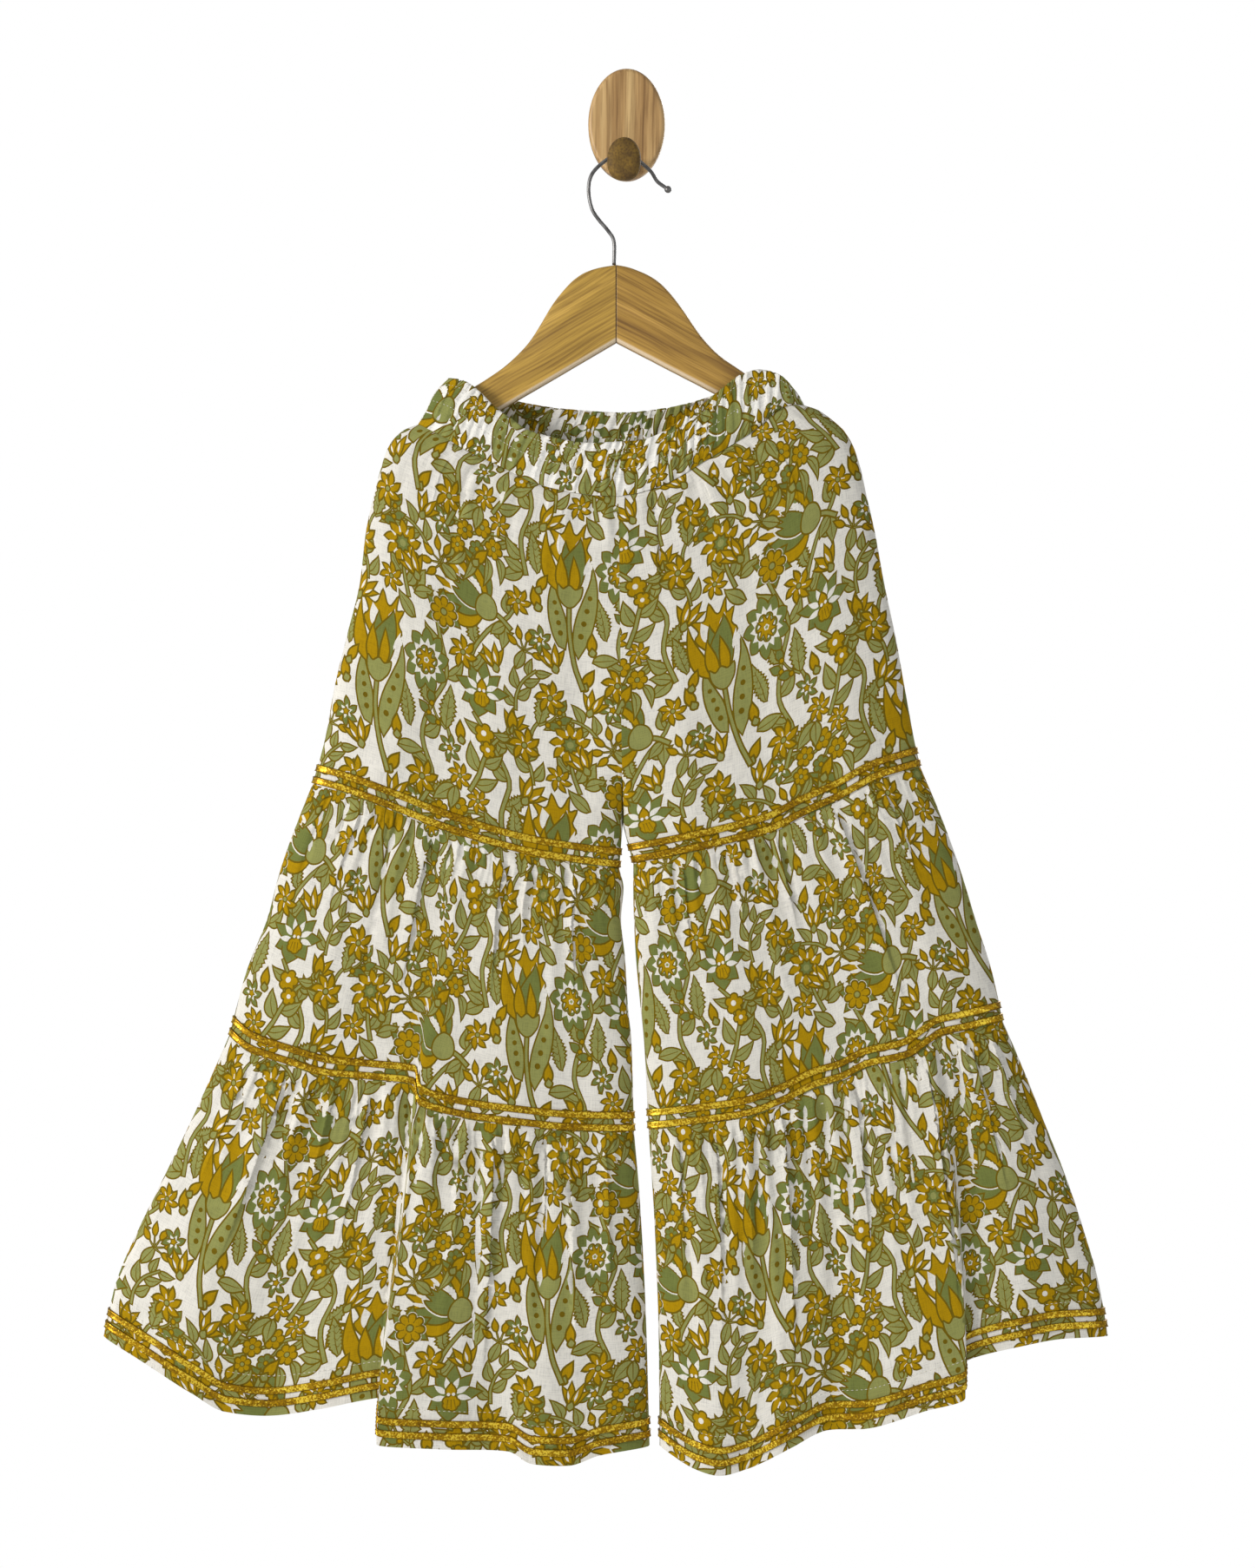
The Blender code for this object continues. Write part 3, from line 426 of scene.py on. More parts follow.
class Panel:
    """One cut panel: its place in the garment, its flat cut and its folds."""

    def __init__(self, tier, leg, face):
        self.tier = tier
        self.leg = leg
        self.face = face
        self.name = f"{tier}_{leg}_{face}"
        front = face == "front"
        seam_2 = SEAM_2_FRONT if front else SEAM_2_BACK
        self.lines = {
            "upper": (WAIST_FRONT if front else WAIST_BACK, SEAM_1),
            "middle": (SEAM_1, seam_2),
            "lower": (seam_2, HEM_FRONT if front else HEM_BACK),
        }[tier]
        self.facing = -1.0 if front else 1.0
        self.inward = 1.0 if leg == "left" else -1.0
        self.mirrored = (leg == "left") != front
        self.ends = np.array([0.0, 1.0])
        self.above = {"upper": None, "middle": "upper", "lower": "middle"}[tier]
        self.make_gathers()
        self.make_arc_table()

    def make_gathers(self):
        """Small gathers of uneven place, length and height. Rows: u, height, half width, end v, lean."""
        draw = random.Random(self.name)
        rows = []
        width = FLAT_CUT[self.tier, self.leg][0]
        for count, height, half, shortest, longest in SMALL_GATHERS[self.tier]:
            for k in range(count):
                place = (k + 0.5 + draw.uniform(-0.42, 0.42)) / count
                tall = height * draw.uniform(0.35, 1.25) * draw.choice((1, 1, 1, -1))
                wide = half * draw.uniform(0.7, 1.35) / width
                end = draw.uniform(shortest, longest)
                rows.append((place, tall, wide, end, draw.uniform(-0.02, 0.02)))
        self.gathers = rows

    def edge_points(self, u, v):
        top, bottom = (level_line(line[self.leg], self.leg, u) for line in self.lines)
        first = edge_line(OUTER_EDGE[self.tier, self.leg], v)
        if self.tier == "upper":
            last = edge_line(INNER_EDGE[self.tier, self.leg, self.face], v, CROTCH_V)
        else:
            last = edge_line(INNER_EDGE[self.tier, self.leg], v)
        return top, bottom, first, last

    def hollow(self, u, v):
        """How far the smooth panel stands out from the garment's middle."""
        top, bottom = TIER_DEPTHS[self.tier]
        outer = side_round(u)
        inner = side_round(1.0 - u)
        parted = 1.0
        if self.tier == "upper":
            parted = smooth_step((v - PARTING_V) / (CROTCH_V - PARTING_V))
        return (top + (bottom - top) * v) * outer * (1.0 - parted * (1.0 - inner))

    def side_fade(self, u):
        """Fades the folds out towards the side seams."""
        fade = smooth_step(u / SIDE_FADE)
        return fade if self.tier == "upper" else fade * smooth_step((1.0 - u) / SIDE_FADE)

    def soft_folds(self, tier, u, v):
        total = np.zeros_like(u)
        for row in BROAD_FOLDS[tier, self.leg, self.face]:
            u_top, u_bottom, v_start, v_full, half_width, height = row
            middle = u_top + (u_bottom - u_top) * v
            grown = smooth_step((v - v_start) / (v_full - v_start))
            total += height * MM * grown * np.exp(-(((u - middle) / half_width) ** 2))
        return total

    def broad_relief(self, u, v):
        total = self.soft_folds(self.tier, u, v)
        if self.above:
            carried = self.soft_folds(self.above, u, np.ones_like(v))
            total += carried * (1.0 - smooth_step(v / FOLD_CARRY))
        if self.face == "front" and (self.tier, self.leg) in FOLD_STEP:
            top, bottom, spread = FOLD_STEP[self.tier, self.leg][:3]
            start, end = fold_span(self.leg)
            risen = smooth_step((u - start) / (end - start))
            fallen = 1.0 - smooth_step((u - end) / spread)
            total += (top + (bottom - top) * v) * MM * risen * fallen
        return total

    def creases(self, u, v):
        """Height of the sharp creases and the sideways lean of their edges, in metres."""
        height = np.zeros_like(u)
        lean = np.zeros_like(u)
        width = FLAT_CUT[self.tier, self.leg][0]
        start, factor = CREASE_TIERS[self.tier]
        for u_top, u_bottom, end, tall, slope, side in CREASES[self.tier, self.leg, self.face]:
            off = (u - u_top - (u_bottom - u_top) * v) * side * width
            dying = 1.0 - smooth_step((v - start) / (end - start)) ** 2
            strength = smooth_step((v - start) / CREASE_GROWTH) * dying
            rise = np.clip(1.0 + off / slope, 0.0, 1.0) ** 2
            profile = np.where(off < 0.0, rise, 1.0 - smooth_step(off / CREASE_DROP))
            edge = np.exp(-((off / np.where(off < 0.0, *CREASE_EDGE)) ** 2))
            tall = tall * MM * factor
            height += tall * strength * profile
            lean += self.inward * side * CREASE_LEAN * tall * strength * edge
        return height, lean

    def crease_points(self):
        """Places on the flat cut that keep the creases sharp."""
        top, bottom, length = FLAT_CUT[self.tier, self.leg]
        flip = -1.0 if self.mirrored else 1.0
        start = CREASE_TIERS[self.tier][0]
        found = []
        for u_top, u_bottom, end, _, _, side in CREASES[self.tier, self.leg, self.face]:
            for v in np.arange(start, end, CREASE_KEPT_STEP / length):
                shares = self.table_share[int(round(v * (len(self.table_v) - 1)))]
                for off in CREASE_KEPT:
                    u = u_top + (u_bottom - u_top) * v + side * off / top
                    share = float(np.interp(u, self.table_u, shares)) - 0.5
                    found.append((flip * share * (top + (bottom - top) * v), v * length))
        return np.array(found)

    def fine_relief(self, u, v):
        """Height of the small gathers, and the dips at the sewn edges."""
        total = np.zeros_like(u)
        for place, height, half, end, lean in self.gathers:
            near = np.abs(u - place - lean * v) < GATHER_REACH * half
            near &= v < end
            if not near.any():
                continue
            uu = u[near]
            vv = v[near]
            rise = smooth_step(vv / GATHER_GROWTH)
            fade = 1.0 - smooth_step(vv / end)
            shape = np.exp(-(((uu - place - lean * vv) / half) ** 2))
            total[near] += height * MM * rise * fade * shape
        top_dip = SEAM_DIP * (WAIST_DIP_FACTOR if self.tier == "upper" else 1.0)
        total -= top_dip * (1.0 - smooth_step(v / SEAM_SPREAD))
        if self.tier != "lower":
            total -= SEAM_DIP * (1.0 - smooth_step((1.0 - v) / SEAM_SPREAD))
        return total

    def overlap_shift(self, u, v):
        """Sideways shift that lays the pressed fold over the cloth beside it."""
        if self.face != "front" or (self.tier, self.leg) not in FOLD_STEP:
            return 0.0
        top, bottom = FOLD_STEP[self.tier, self.leg][3:]
        start, end = fold_span(self.leg)
        reach = (top + (bottom - top) * v) * MM
        half = OVERLAP_SPREAD * (end - start)
        under = np.exp(-(((u - start) / half) ** 2))
        over = np.exp(-(((u - end) / half) ** 2))
        return self.inward * reach * (under - over)

    def place(self, u, v, fine=True):
        """Points of the outer face at scattered places u, v."""
        corners = [line[0] for line in self.edge_points(self.ends[:1], self.ends[:1])[:2]]
        ends = [line[0] for line in self.edge_points(self.ends[1:], self.ends[1:])[:2]]
        corners = (corners[0], ends[0], corners[1], ends[1])
        flat = blend_patch(*self.edge_points(u, v), corners, u, v)
        relief = self.broad_relief(u, v)
        x = flat[:, 0] + self.overlap_shift(u, v)
        if fine:
            height, lean = self.creases(u, v)
            relief = relief + self.fine_relief(u, v) + height
            x = x + lean * self.side_fade(u)
        outward = self.hollow(u, v) + relief * self.side_fade(u)
        return np.stack([x, HANG_Y + self.facing * outward, flat[:, 1]], axis=-1)

    def make_arc_table(self):
        """Shares of cloth width against u, row by row, so that the print isn't stretched sideways."""
        self.table_v = np.linspace(0.0, 1.0, ARC_ROWS)
        self.table_u = np.linspace(0.0, 1.0, ARC_COLUMNS)
        shares = []
        for v in self.table_v:
            along = run_lengths(self.place(self.table_u, np.full_like(self.table_u, v), fine=False))
            shares.append(along / along[-1])
        self.table_share = np.array(shares)

    def u_at(self, share, v):
        """u of a share of the cloth's width at height v."""
        row = np.clip(v, 0, 1) * (len(self.table_v) - 1)
        low = np.clip(np.floor(row).astype(int), 0, len(self.table_v) - 2)
        part = row - low
        u = np.empty_like(share)
        for k in range(len(self.table_v) - 1):
            here = low == k
            if here.any():
                first = np.interp(share[here], self.table_share[k], self.table_u)
                second = np.interp(share[here], self.table_share[k + 1], self.table_u)
                u[here] = first * (1 - part[here]) + second * part[here]
        return u

    def from_flat(self, s, t):
        """u and v of places s, t on the flat cut, in mm: s across from its middle, t down."""
        top, bottom, length = FLAT_CUT[self.tier, self.leg]
        v = np.clip(t / length, 0.0, 1.0)
        width = top + (bottom - top) * v
        share = np.clip(s / width + 0.5, 0.0, 1.0)
        if self.mirrored:
            share = 1.0 - share
        return self.u_at(share, v), v

    def outline(self):
        """The cut's corners, counterclockwise with t taken upwards."""
        top, bottom, length = FLAT_CUT[self.tier, self.leg]
        return [(-top / 2, 0.0), (top / 2, 0.0), (bottom / 2, length), (-bottom / 2, length)]

    def points(self, s, t):
        """Points of the outer face at places s, t on the flat cut."""
        return self.place(*self.from_flat(s, t))


class Band:
    """Half the waistband: a casing whose cloth comes up the outside, rolls over and goes down inside."""

    ROLL = 1.25 * MM
    TURN = 4.0
    LIP = 0.035
    BELOW_LIP = 0.965
    END_FADE = 0.03
    WAVE_HEIGHT = 0.52 * MM
    WAVE_WIDTHS = (0.55, 1.45)
    WAVE_SIZES = (0.5, 1.15)
    WAVE_LEAN = 0.004
    CRINKLE = 0.22
    CRINKLE_RATE = 2.7
    CRINKLE_OFFSET = 3.0
    # Size of the gathers down the casing, small at its stitch line and its seam. Columns: v, factor
    PULL = ((0.0, 1.25), (0.06, 1.1), (0.125, 0.55), (0.2, 0.9), (0.6, 1.05), (0.93, 0.8), (1.0, 0.45))
    # How the casing is drawn in at its seam. Columns: depth, v where it starts, v that it takes
    DRAWN_IN = ((1.2 * MM, 0.84, 0.16), (0.9 * MM, 0.95, 0.05))
    FLATTEST = 0.05 * MM

    def __init__(self, face):
        self.face = face
        self.name = f"waistband_{face}"
        self.facing = -1.0 if face == "front" else 1.0
        front = face == "front"
        self.top = BAND_TOP_FRONT if front else BAND_TOP_BACK
        waist = WAIST_FRONT if front else WAIST_BACK
        u = column_places(GRID_COLUMNS // 2)
        left = level_line(waist["left"], "left", u)
        right = level_line(waist["right"], "right", u)
        self.bottom = np.concatenate([left, right[-2::-1]])
        draw = random.Random(self.name)
        knots = np.cumsum([0.0] + [draw.uniform(*self.WAVE_WIDTHS) for _ in range(2 * BAND_GATHERS)])
        self.knots = knots / knots[-1]
        self.heights = np.array([draw.uniform(*self.WAVE_SIZES) for _ in self.knots])
        self.leans = np.array([draw.uniform(-0.5, 0.5) for _ in self.knots])

    def outline(self):
        """The cut's corners; the turn and the inner side lie above the outer side."""
        width, height = BAND_CUT
        return [(-width / 2, -height - self.TURN), (width / 2, -height - self.TURN),
                (width / 2, height), (-width / 2, height)]

    def waves(self, u, v):
        """Uneven gathers, drawn in at the stitch line under the ruffled top."""
        swing = u + self.WAVE_LEAN * np.interp(u, self.knots, self.leans) * v
        phase = np.interp(swing, self.knots, np.arange(len(self.knots)) * math.pi)
        tall = np.interp(u, self.knots, self.heights)
        pull = np.interp(v, *zip(*self.PULL))
        sides = smooth_step(u / self.END_FADE) * smooth_step((1 - u) / self.END_FADE)
        crinkles = self.CRINKLE * np.sin(self.CRINKLE_RATE * phase + self.CRINKLE_OFFSET * tall)
        return self.WAVE_HEIGHT * tall * pull * sides * (np.sin(phase) + crinkles)

    def points(self, s, t):
        """Points of the outer face at places s, t on the flat cut."""
        width, height = BAND_CUT
        u = np.clip(s / width + 0.5, 0.0, 1.0)
        if self.face == "back":
            u = 1.0 - u
        turn = np.clip(-t / self.TURN, 0.0, 1.0) * math.pi
        v = np.clip(np.where(t >= 0, t, -self.TURN - t) / height, 0.0, 1.0)
        lift = self.LIP * (1.0 - np.sin(turn))
        down = np.where((turn > 0) & (turn < math.pi), lift, self.LIP + self.BELOW_LIP * v)
        top = edge_line(self.top, u)
        shares = length_shares(self.bottom)
        bottom = np.stack([np.interp(u, shares, self.bottom[:, axis]) for axis in (0, 1)], axis=-1)
        first = edge_line(BAND_SIDE_LEFT, down)
        last = edge_line(BAND_SIDE_RIGHT, down)
        corners = [np.array(p, float) * MM for p in
                   (BAND_SIDE_LEFT[0], BAND_SIDE_RIGHT[0], BAND_SIDE_LEFT[-1], BAND_SIDE_RIGHT[-1])]
        flat = blend_patch(top, bottom, first, last, corners, u, down)
        depth = BAND_DEPTH * side_round(u * 2) * side_round((1 - u) * 2)
        out = depth + self.waves(u, v) - self.ROLL * (1.0 - np.cos(turn))
        for drawn, start, reach in self.DRAWN_IN:
            out = out - drawn * smooth_step((v - start) / reach)
        out = np.maximum(out, self.FLATTEST)
        return np.stack([flat[:, 0], HANG_Y + self.facing * out, flat[:, 1]], axis=-1)


# The block print: every shape is a polygon on the flat cloth, in mm, drawn from the back to the front
TILE_WIDTH = 126.0
TILE_HEIGHT = 178.0
LINE = 1.05
INKS = ("ground", "line", "mustard", "sage", "leafblue")


def turned(shape, x=0.0, y=0.0, angle=0.0, scale=1.0, mirror=False):
    """A shape put at x, y after it is scaled and turned anticlockwise by an angle in degrees."""
    shape = np.asarray(shape, float) * scale
    if mirror:
        shape = shape * (-1.0, 1.0)
        shape = shape[::-1]
    a = math.radians(angle)
    turn = np.array([[math.cos(a), math.sin(a)], [-math.sin(a), math.cos(a)]])
    return shape @ turn + (x, y)


def moved(art, *args, **kwargs):
    """Inked shapes put somewhere together."""
    return [(ink, turned(shape, *args, **kwargs)) for ink, shape in art]


def grown(shape, distance):
    """The shape's outline moved outwards by a distance."""
    ahead = np.roll(shape, -1, axis=0) - shape
    ahead /= np.maximum(np.linalg.norm(ahead, axis=1, keepdims=True), 1e-9)
    behind = np.roll(ahead, 1, axis=0)
    out = np.stack([ahead[:, 1] + behind[:, 1], -ahead[:, 0] - behind[:, 0]], axis=-1)
    size = np.linalg.norm(out, axis=1, keepdims=True)
    out /= np.maximum(size, 1e-9)
    return shape + out * distance / np.maximum(size / 2.0, 0.55)


def thinned(shape, slack=0.13):
    """The shape without the points that hardly bend its outline."""
    closed = np.concatenate([shape, shape[:1]])
    far = int(np.argmax(np.linalg.norm(shape - shape[0], axis=1)))
    keep = {0, far}
    spans = [(0, far), (far, len(shape))]
    while spans:
        a, b = spans.pop()
        if b - a < 2:
            continue
        way = closed[b] - closed[a]
        between = closed[a + 1:b] - closed[a]
        off = np.abs(way[0] * between[:, 1] - way[1] * between[:, 0]) / max(math.hypot(*way), 1e-9)
        if off.max() > slack:
            k = a + 1 + int(off.argmax())
            keep.add(k)
            spans += [(a, k), (k, b)]
    return shape[sorted(keep)]


def counterclockwise(shape):
    x, y = np.asarray(shape).T
    area = np.sum(x * np.roll(y, -1) - y * np.roll(x, -1))
    return shape if area > 0 else shape[::-1]


def inked(ink, shape, line=LINE):
    """A filled shape over its own wider outline."""
    shape = counterclockwise(np.asarray(shape, float))
    return [("line", grown(shape, line / 2)), (ink, grown(shape, -line / 2))]


def curve_through(points, steps=6):
    """Smooth path through points."""
    points = np.asarray(points, float)
    knots = np.concatenate([[2 * points[0] - points[1]], points, [2 * points[-1] - points[-2]]])
    path = []
    for i in range(len(points) - 1):
        a, b, c, d = knots[i:i + 4]
        for k in range(steps):
            t = k / steps
            path.append(0.5 * (2 * b + (c - a) * t + (2 * a - 5 * b + 4 * c - d) * t ** 2
                               + (3 * b - a - 3 * c + d) * t ** 3))
    return np.array(path + [points[-1]])


def rounded(points, steps=4):
    """Smooth closed outline through points."""
    points = np.array(points, float)
    around = np.concatenate([points[-1:], points, points[:2]])
    return curve_through(around, steps)[steps:-steps - 1]


def stroke(path, width, taper=0.6):
    """Thin band along a path."""
    path = np.asarray(path, float)
    ahead = np.gradient(path, axis=0)
    ahead /= np.linalg.norm(ahead, axis=1, keepdims=True)
    side = np.stack([ahead[:, 1], -ahead[:, 0]], axis=-1)
    half = width / 2 * np.linspace(1.0, taper, len(path))[:, None]
    return np.concatenate([path + side * half, (path - side * half)[::-1]])


def leaf(length, width, bend=0.0, curl=0.0, belly=0.85, teeth=0, points=11):
    """Pointed leaf that grows up from the origin; bend moves its tip and curl its belly to the right."""
    count = points + 3 * teeth
    t = np.linspace(0.0, 1.0, count)
    half = width * 0.54 * np.sin(math.pi * np.clip(t, 0.03, 1) ** belly) ** 0.85 * (1.0 - 0.4 * t ** 4)
    if teeth:
        half = half * (1.0 + 0.2 * np.where(np.arange(count) % 2, 1.0, -1.0) * np.sin(math.pi * t))
    x = bend * (0.75 * t ** 2 + 0.45 * t ** 6) + curl * np.sin(math.pi * t) * (1.0 - 0.6 * t)
    y = length * t
    right = np.stack([x + half, y], axis=-1)
    left = np.stack([x - half, y], axis=-1)[-2:0:-1]
    return np.concatenate([right, left])


def star(radius, petals, inner=0.45, points=4, twist=0.0, tall=1.0):
    """Flower of pointed petals that lean by a twist."""
    count = petals * points * 2
    turn = np.arange(count) / count
    lobe = np.abs(((turn * petals) % 1.0) * 2.0 - 1.0)
    r = radius * (inner + (1.0 - inner) * lobe ** 0.72)
    a = turn * 2.0 * math.pi + twist * (r / radius) ** 2
    return np.stack([r * np.cos(a), tall * r * np.sin(a)], axis=-1)


def rosette(radius, petals, dip=0.25, points=6):
    """Flower of round petals."""
    count = petals * points
    a = np.arange(count) / count * 2.0 * math.pi
    r = radius * (1.0 - dip * (1.0 - np.abs(np.cos(a * petals / 2.0)) ** 0.6))
    return np.stack([r * np.cos(a), r * np.sin(a)], axis=-1)


def dot(radius, points=10):
    a = np.arange(points) / points * 2 * math.pi
    return np.stack([radius * np.cos(a), radius * np.sin(a)], axis=-1)


def spokes(radius, count, ink="line", start=0.3, end=0.62, width=0.55, turn=0.0):
    """Short strokes between two shares of a flower's radius."""
    spoke = stroke([(0, radius * start), (0, radius * end)], width)
    return [(ink, turned(spoke, 0, 0, 360 * k / count + turn)) for k in range(count)]


def veined_leaf(ink, length, width, bend=0.0, curl=0.0, teeth=0, veins=0):
    """Outlined leaf with a drawn spine and pairs of side veins."""
    art = inked(ink, leaf(length, width, bend, curl, teeth=teeth))
    t = np.linspace(0.05, 0.8, 4)
    spine = np.stack([bend * t ** 2 + curl * np.sin(math.pi * t) * (1 - 0.6 * t), length * t], axis=-1)
    art.append(("line", stroke(spine, 0.8, 0.45)))
    for k in range(veins):
        at = 0.22 + 0.5 * k / max(veins - 1, 1)
        foot = np.array([bend * at ** 2, length * at])
        for side in (-1, 1):
            art.append(("line", stroke([foot, foot + (side * width * 0.27, length * 0.10)], 0.55, 0.4)))
    return art


def spotted_leaf(length, width, bend, curl):
    """Long leaf with a row of dark dots on it."""
    art = inked("sage", leaf(length, width, bend, curl, 0.75, points=14))
    for at in (0.24, 0.38, 0.52, 0.66):
        size = 0.15 * width * (1.2 - 0.4 * at)
        centre = (bend * at ** 2 + curl * math.sin(math.pi * at) * (1 - 0.6 * at), length * at)
        art.append(("line", dot(size) + centre))
    return art


def vine(path, width, leaves=()):
    """Stem along a path with leaves. Leaf rows: share along it, side, length, width, bend, teeth."""
    line = curve_through(path, 4)
    art = []
    runs = run_lengths(line)
    for share, side, length, wide, bend, teeth in leaves:
        at = share * runs[-1]
        foot = (np.interp(at, runs, line[:, 0]), np.interp(at, runs, line[:, 1]))
        k = min(np.searchsorted(runs, at), len(line) - 2)
        way = line[k + 1] - line[max(k - 1, 0)]
        heading = math.degrees(math.atan2(way[1], way[0])) - 90.0
        veins = 2 if teeth else 0
        made = veined_leaf("sage", length, wide, -bend * side, bend * side * 0.5, teeth, veins)
        art += moved(made, *foot, heading - 50.0 * side)
    return art + inked("sage", stroke(line, width, 0.8), 0.9)


def tulip():
    """Large upright tulip with ragged petals between two spotted leaves on one stem."""
    art = []
    art += moved(spotted_leaf(58, 11.5, -12, -3), 4, -38, -24)
    art += moved(spotted_leaf(44, 10.5, 10, 3), -4, -34, 22)
    art += inked("sage", stroke(curve_through([(9, -58), (3, -42), (0, -22), (0, 0)], 4), 3.0, 0.9))
    crown = [(-9, 22), (-13, 29), (-10, 33), (-14, 41), (-7, 38), (-4, 40), (-1, 47), (2, 40), (5, 39),
             (10, 46), (9, 37), (14, 38), (11, 30), (14, 24), (6, 18), (-3, 17)]
    art += inked("mustard", rounded(crown, 3))
    art += [("ground", turned(leaf(14, 6.5, 0, 1.4, points=8), -5.5, 24, 9)),
            ("ground", turned(leaf(13, 5.0, 0, -1.2, points=8), 5.5, 25, -10))]
    art += moved(inked("leafblue", leaf(34, 10, 5, 3)), 2, 0, 18)
    art += moved(inked("mustard", leaf(40, 9, 6, -5, 0.8, points=13)), -2, 1, 30)
    art += moved(inked("leafblue", leaf(37, 15, -5, -4, 0.8, points=13)), 0, 0, -20)
    slits = [("ground", leaf(12, 2.6, 0, 0.5, points=8)), ("ground", leaf(5, 1.8, points=7) + (3, 4))]
    art += moved(slits, 9, 14, -20)
    art += moved(inked("mustard", leaf(26, 7.5, 1, -1)), -2.5, 0, 10)
    art += moved(inked("mustard", leaf(25, 6.5, -1, 1.5)), 1.5, 0, -5)
    art += inked("sage", rounded([(-7.5, 7), (-7, -1), (-2.5, -6.5), (2.5, -6.5), (7.5, -0.5), (8.5, 6.5),
                                  (4, 4.5), (0, 7), (-4, 4.5)]))
    return art


def open_tulip():
    """Wide tulip seen from the side, its green petals edged with ragged white."""
    art = inked("sage", stroke(curve_through([(0, -19), (1.5, -10), (0, 0)], 4), 3.0, 0.9))
    fringe = [(-14, 20), (-15, 29), (-10.5, 26), (-9, 35), (-5, 28), (-1, 37), (2, 29), (7, 36), (8, 27),
              (13, 31), (12, 22), (4, 14), (-6, 14)]
    art += inked("mustard", rounded(fringe, 3))
    art += [("ground", turned(leaf(13, 2.2, 0, 0.4, points=8), x, 18, a)) for x, a in
            ((-8, 18), (-4, 8), (1, 0), (5.5, -10))]
    art += moved(inked("mustard", leaf(36, 12, 4, -6, 0.85, points=13)), -2, 0, 44)
    art += moved([("ground", leaf(20, 4.5, 2, -2))], -6, 7, 44)
    art += moved(inked("leafblue", leaf(33, 10, 0, -3, 0.9)), -2, 0, 27)
    heart = [(-3, 2), (-8, 9), (-8.5, 17), (-6, 23), (-4, 19), (-2.5, 25), (-0.5, 20), (1.5, 25), (2.5, 19),
             (4.5, 22), (5, 15), (4, 7), (2, 2)]
    art += [("ground", grown(counterclockwise(rounded(heart, 3)), 1.3))]
    art += inked("leafblue", rounded(heart, 3))
    art += moved(inked("leafblue", leaf(35, 12.5, -3, 4, 0.85, points=13)), 2, 0, -36)
    art += moved(inked("mustard", leaf(30, 4.5, -2, 3)), 3.5, 1, -32)
    art += moved([("ground", leaf(15, 3.4, -1, 1.5, teeth=1))], 4, 6, -20)
    art += inked("sage", rounded([(-7, 4.5), (-7.5, -2), (-3, -7), (2.5, -7), (7.5, -2), (7, 4.5), (0, 7)]))
    return art


def orchid():
    """Big green flower with white slits and a round mustard heart."""
    art = []
    for angle, length, width in ((0, 21, 10), (38, 19, 9), (78, 20, 8.5), (128, 16, 11), (180, 17, 15),
                                 (228, 16, 11), (282, 20, 8.5), (322, 19, 9)):
        art += moved(inked("leafblue", leaf(length, width, 2.0, 1.0)), 0, 0, angle)
    art += [("leafblue", rosette(11.0, 8, 0.1))]
    for angle in (18, 58, 100, 262, 300, 340):
        a = math.radians(angle)
        slit = turned(leaf(9.5, 3.6, 0.6, points=8), 0, 3.5 * math.cos(a), angle)
        art.append(("ground", slit + (-3.5 * math.sin(a), 0)))
    art += inked("mustard", leaf(10, 6.5, 0) + (0, -1))
    art += inked("mustard", rosette(5.8, 5, 0.16) * (1.0, 0.92) + (0, -4.5))
    art += [("ground", dot(1.1) + (-1.6, 1.2)), ("ground", dot(1.1) + (1.6, 1.2))]
    art += [("line", stroke([(x, -2.2), (x * 1.5, -8.4)], 0.55)) for x in (-1.9, 0.0, 1.9)]
    return art


def ragged_bloom():
    """Tall green flower with white teeth round a mustard star."""
    art = inked("leafblue", star(20, 9, 0.72, 4, 0.15, 1.25))
    art += [("ground", star(14.2, 13, 0.72, 1, 0.0, 1.2))]
    art += inked("leafblue", rosette(9.6, 7, 0.2) * (1.0, 1.15))
    art += [("ground", rosette(7.8, 7, 0.25) * (1.0, 1.1))]
    art += inked("mustard", star(9.2, 9, 0.55, 1, 0.2, 1.15))
    art += [("ground", rosette(2.4, 5, 0.3)), ("sage", dot(1.3))]
    return art


def daisy(radius=11.0):
    """Mustard daisy with green leaf tips behind it."""
    art = []
    for k in range(6):
        art += moved(inked("leafblue", leaf(radius * 1.15, radius * 0.6, 1.2)), 0, 0, 60 * k + 10)
    art += [("ground", rosette(radius * 0.86, 8, 0.2))]
    art += inked("mustard", rosette(radius * 0.78, 8, 0.28))
    art += spokes(radius, 8, turn=22)
    return art + inked("sage", dot(radius * 0.19), 0.8)


def mustard_star(radius=9.0):
    """Mustard star flower with white and dark strokes round a green eye."""
    art = inked("mustard", star(radius, 7, 0.47, 4, 0.35, 1.08))
    art += spokes(radius, 5, "ground", 0.24, 0.52, 0.8, 10)
    art += spokes(radius, 7, "line", 0.26, 0.55, 0.5, 36)
    return art + inked("sage", dot(radius * 0.18), 0.7)


def green_star(radius=9.0):
    """Green star flower with white slits and a mustard eye."""
    art = inked("leafblue", star(radius, 6, 0.40, 4, 0.25, 1.1))
    slit = leaf(radius * 0.55, radius * 0.24, points=7)
    art += [("ground", turned(slit, 0, 0, 60 * k + 32)) for k in range(6)]
    return art + inked("mustard", star(radius * 0.3, 5, 0.6, 1), 0.7)


def sunburst():
    """Mustard flower with a green heart on a leafy stem."""
    art = vine([(2, -30), (0, -18), (0, -6)], 2.6, ((0.3, 1, 14, 7, 3, 0), (0.55, -1, 14, 7, 3, 0)))
    art += inked("mustard", star(13, 9, 0.58, 4, 0.25, 1.05))
    art += spokes(13, 9, "ground", 0.46, 0.72, 1.3, 15)
    return art + inked("leafblue", star(5.4, 8, 0.7, 1)) + [("sage", dot(2.2))]


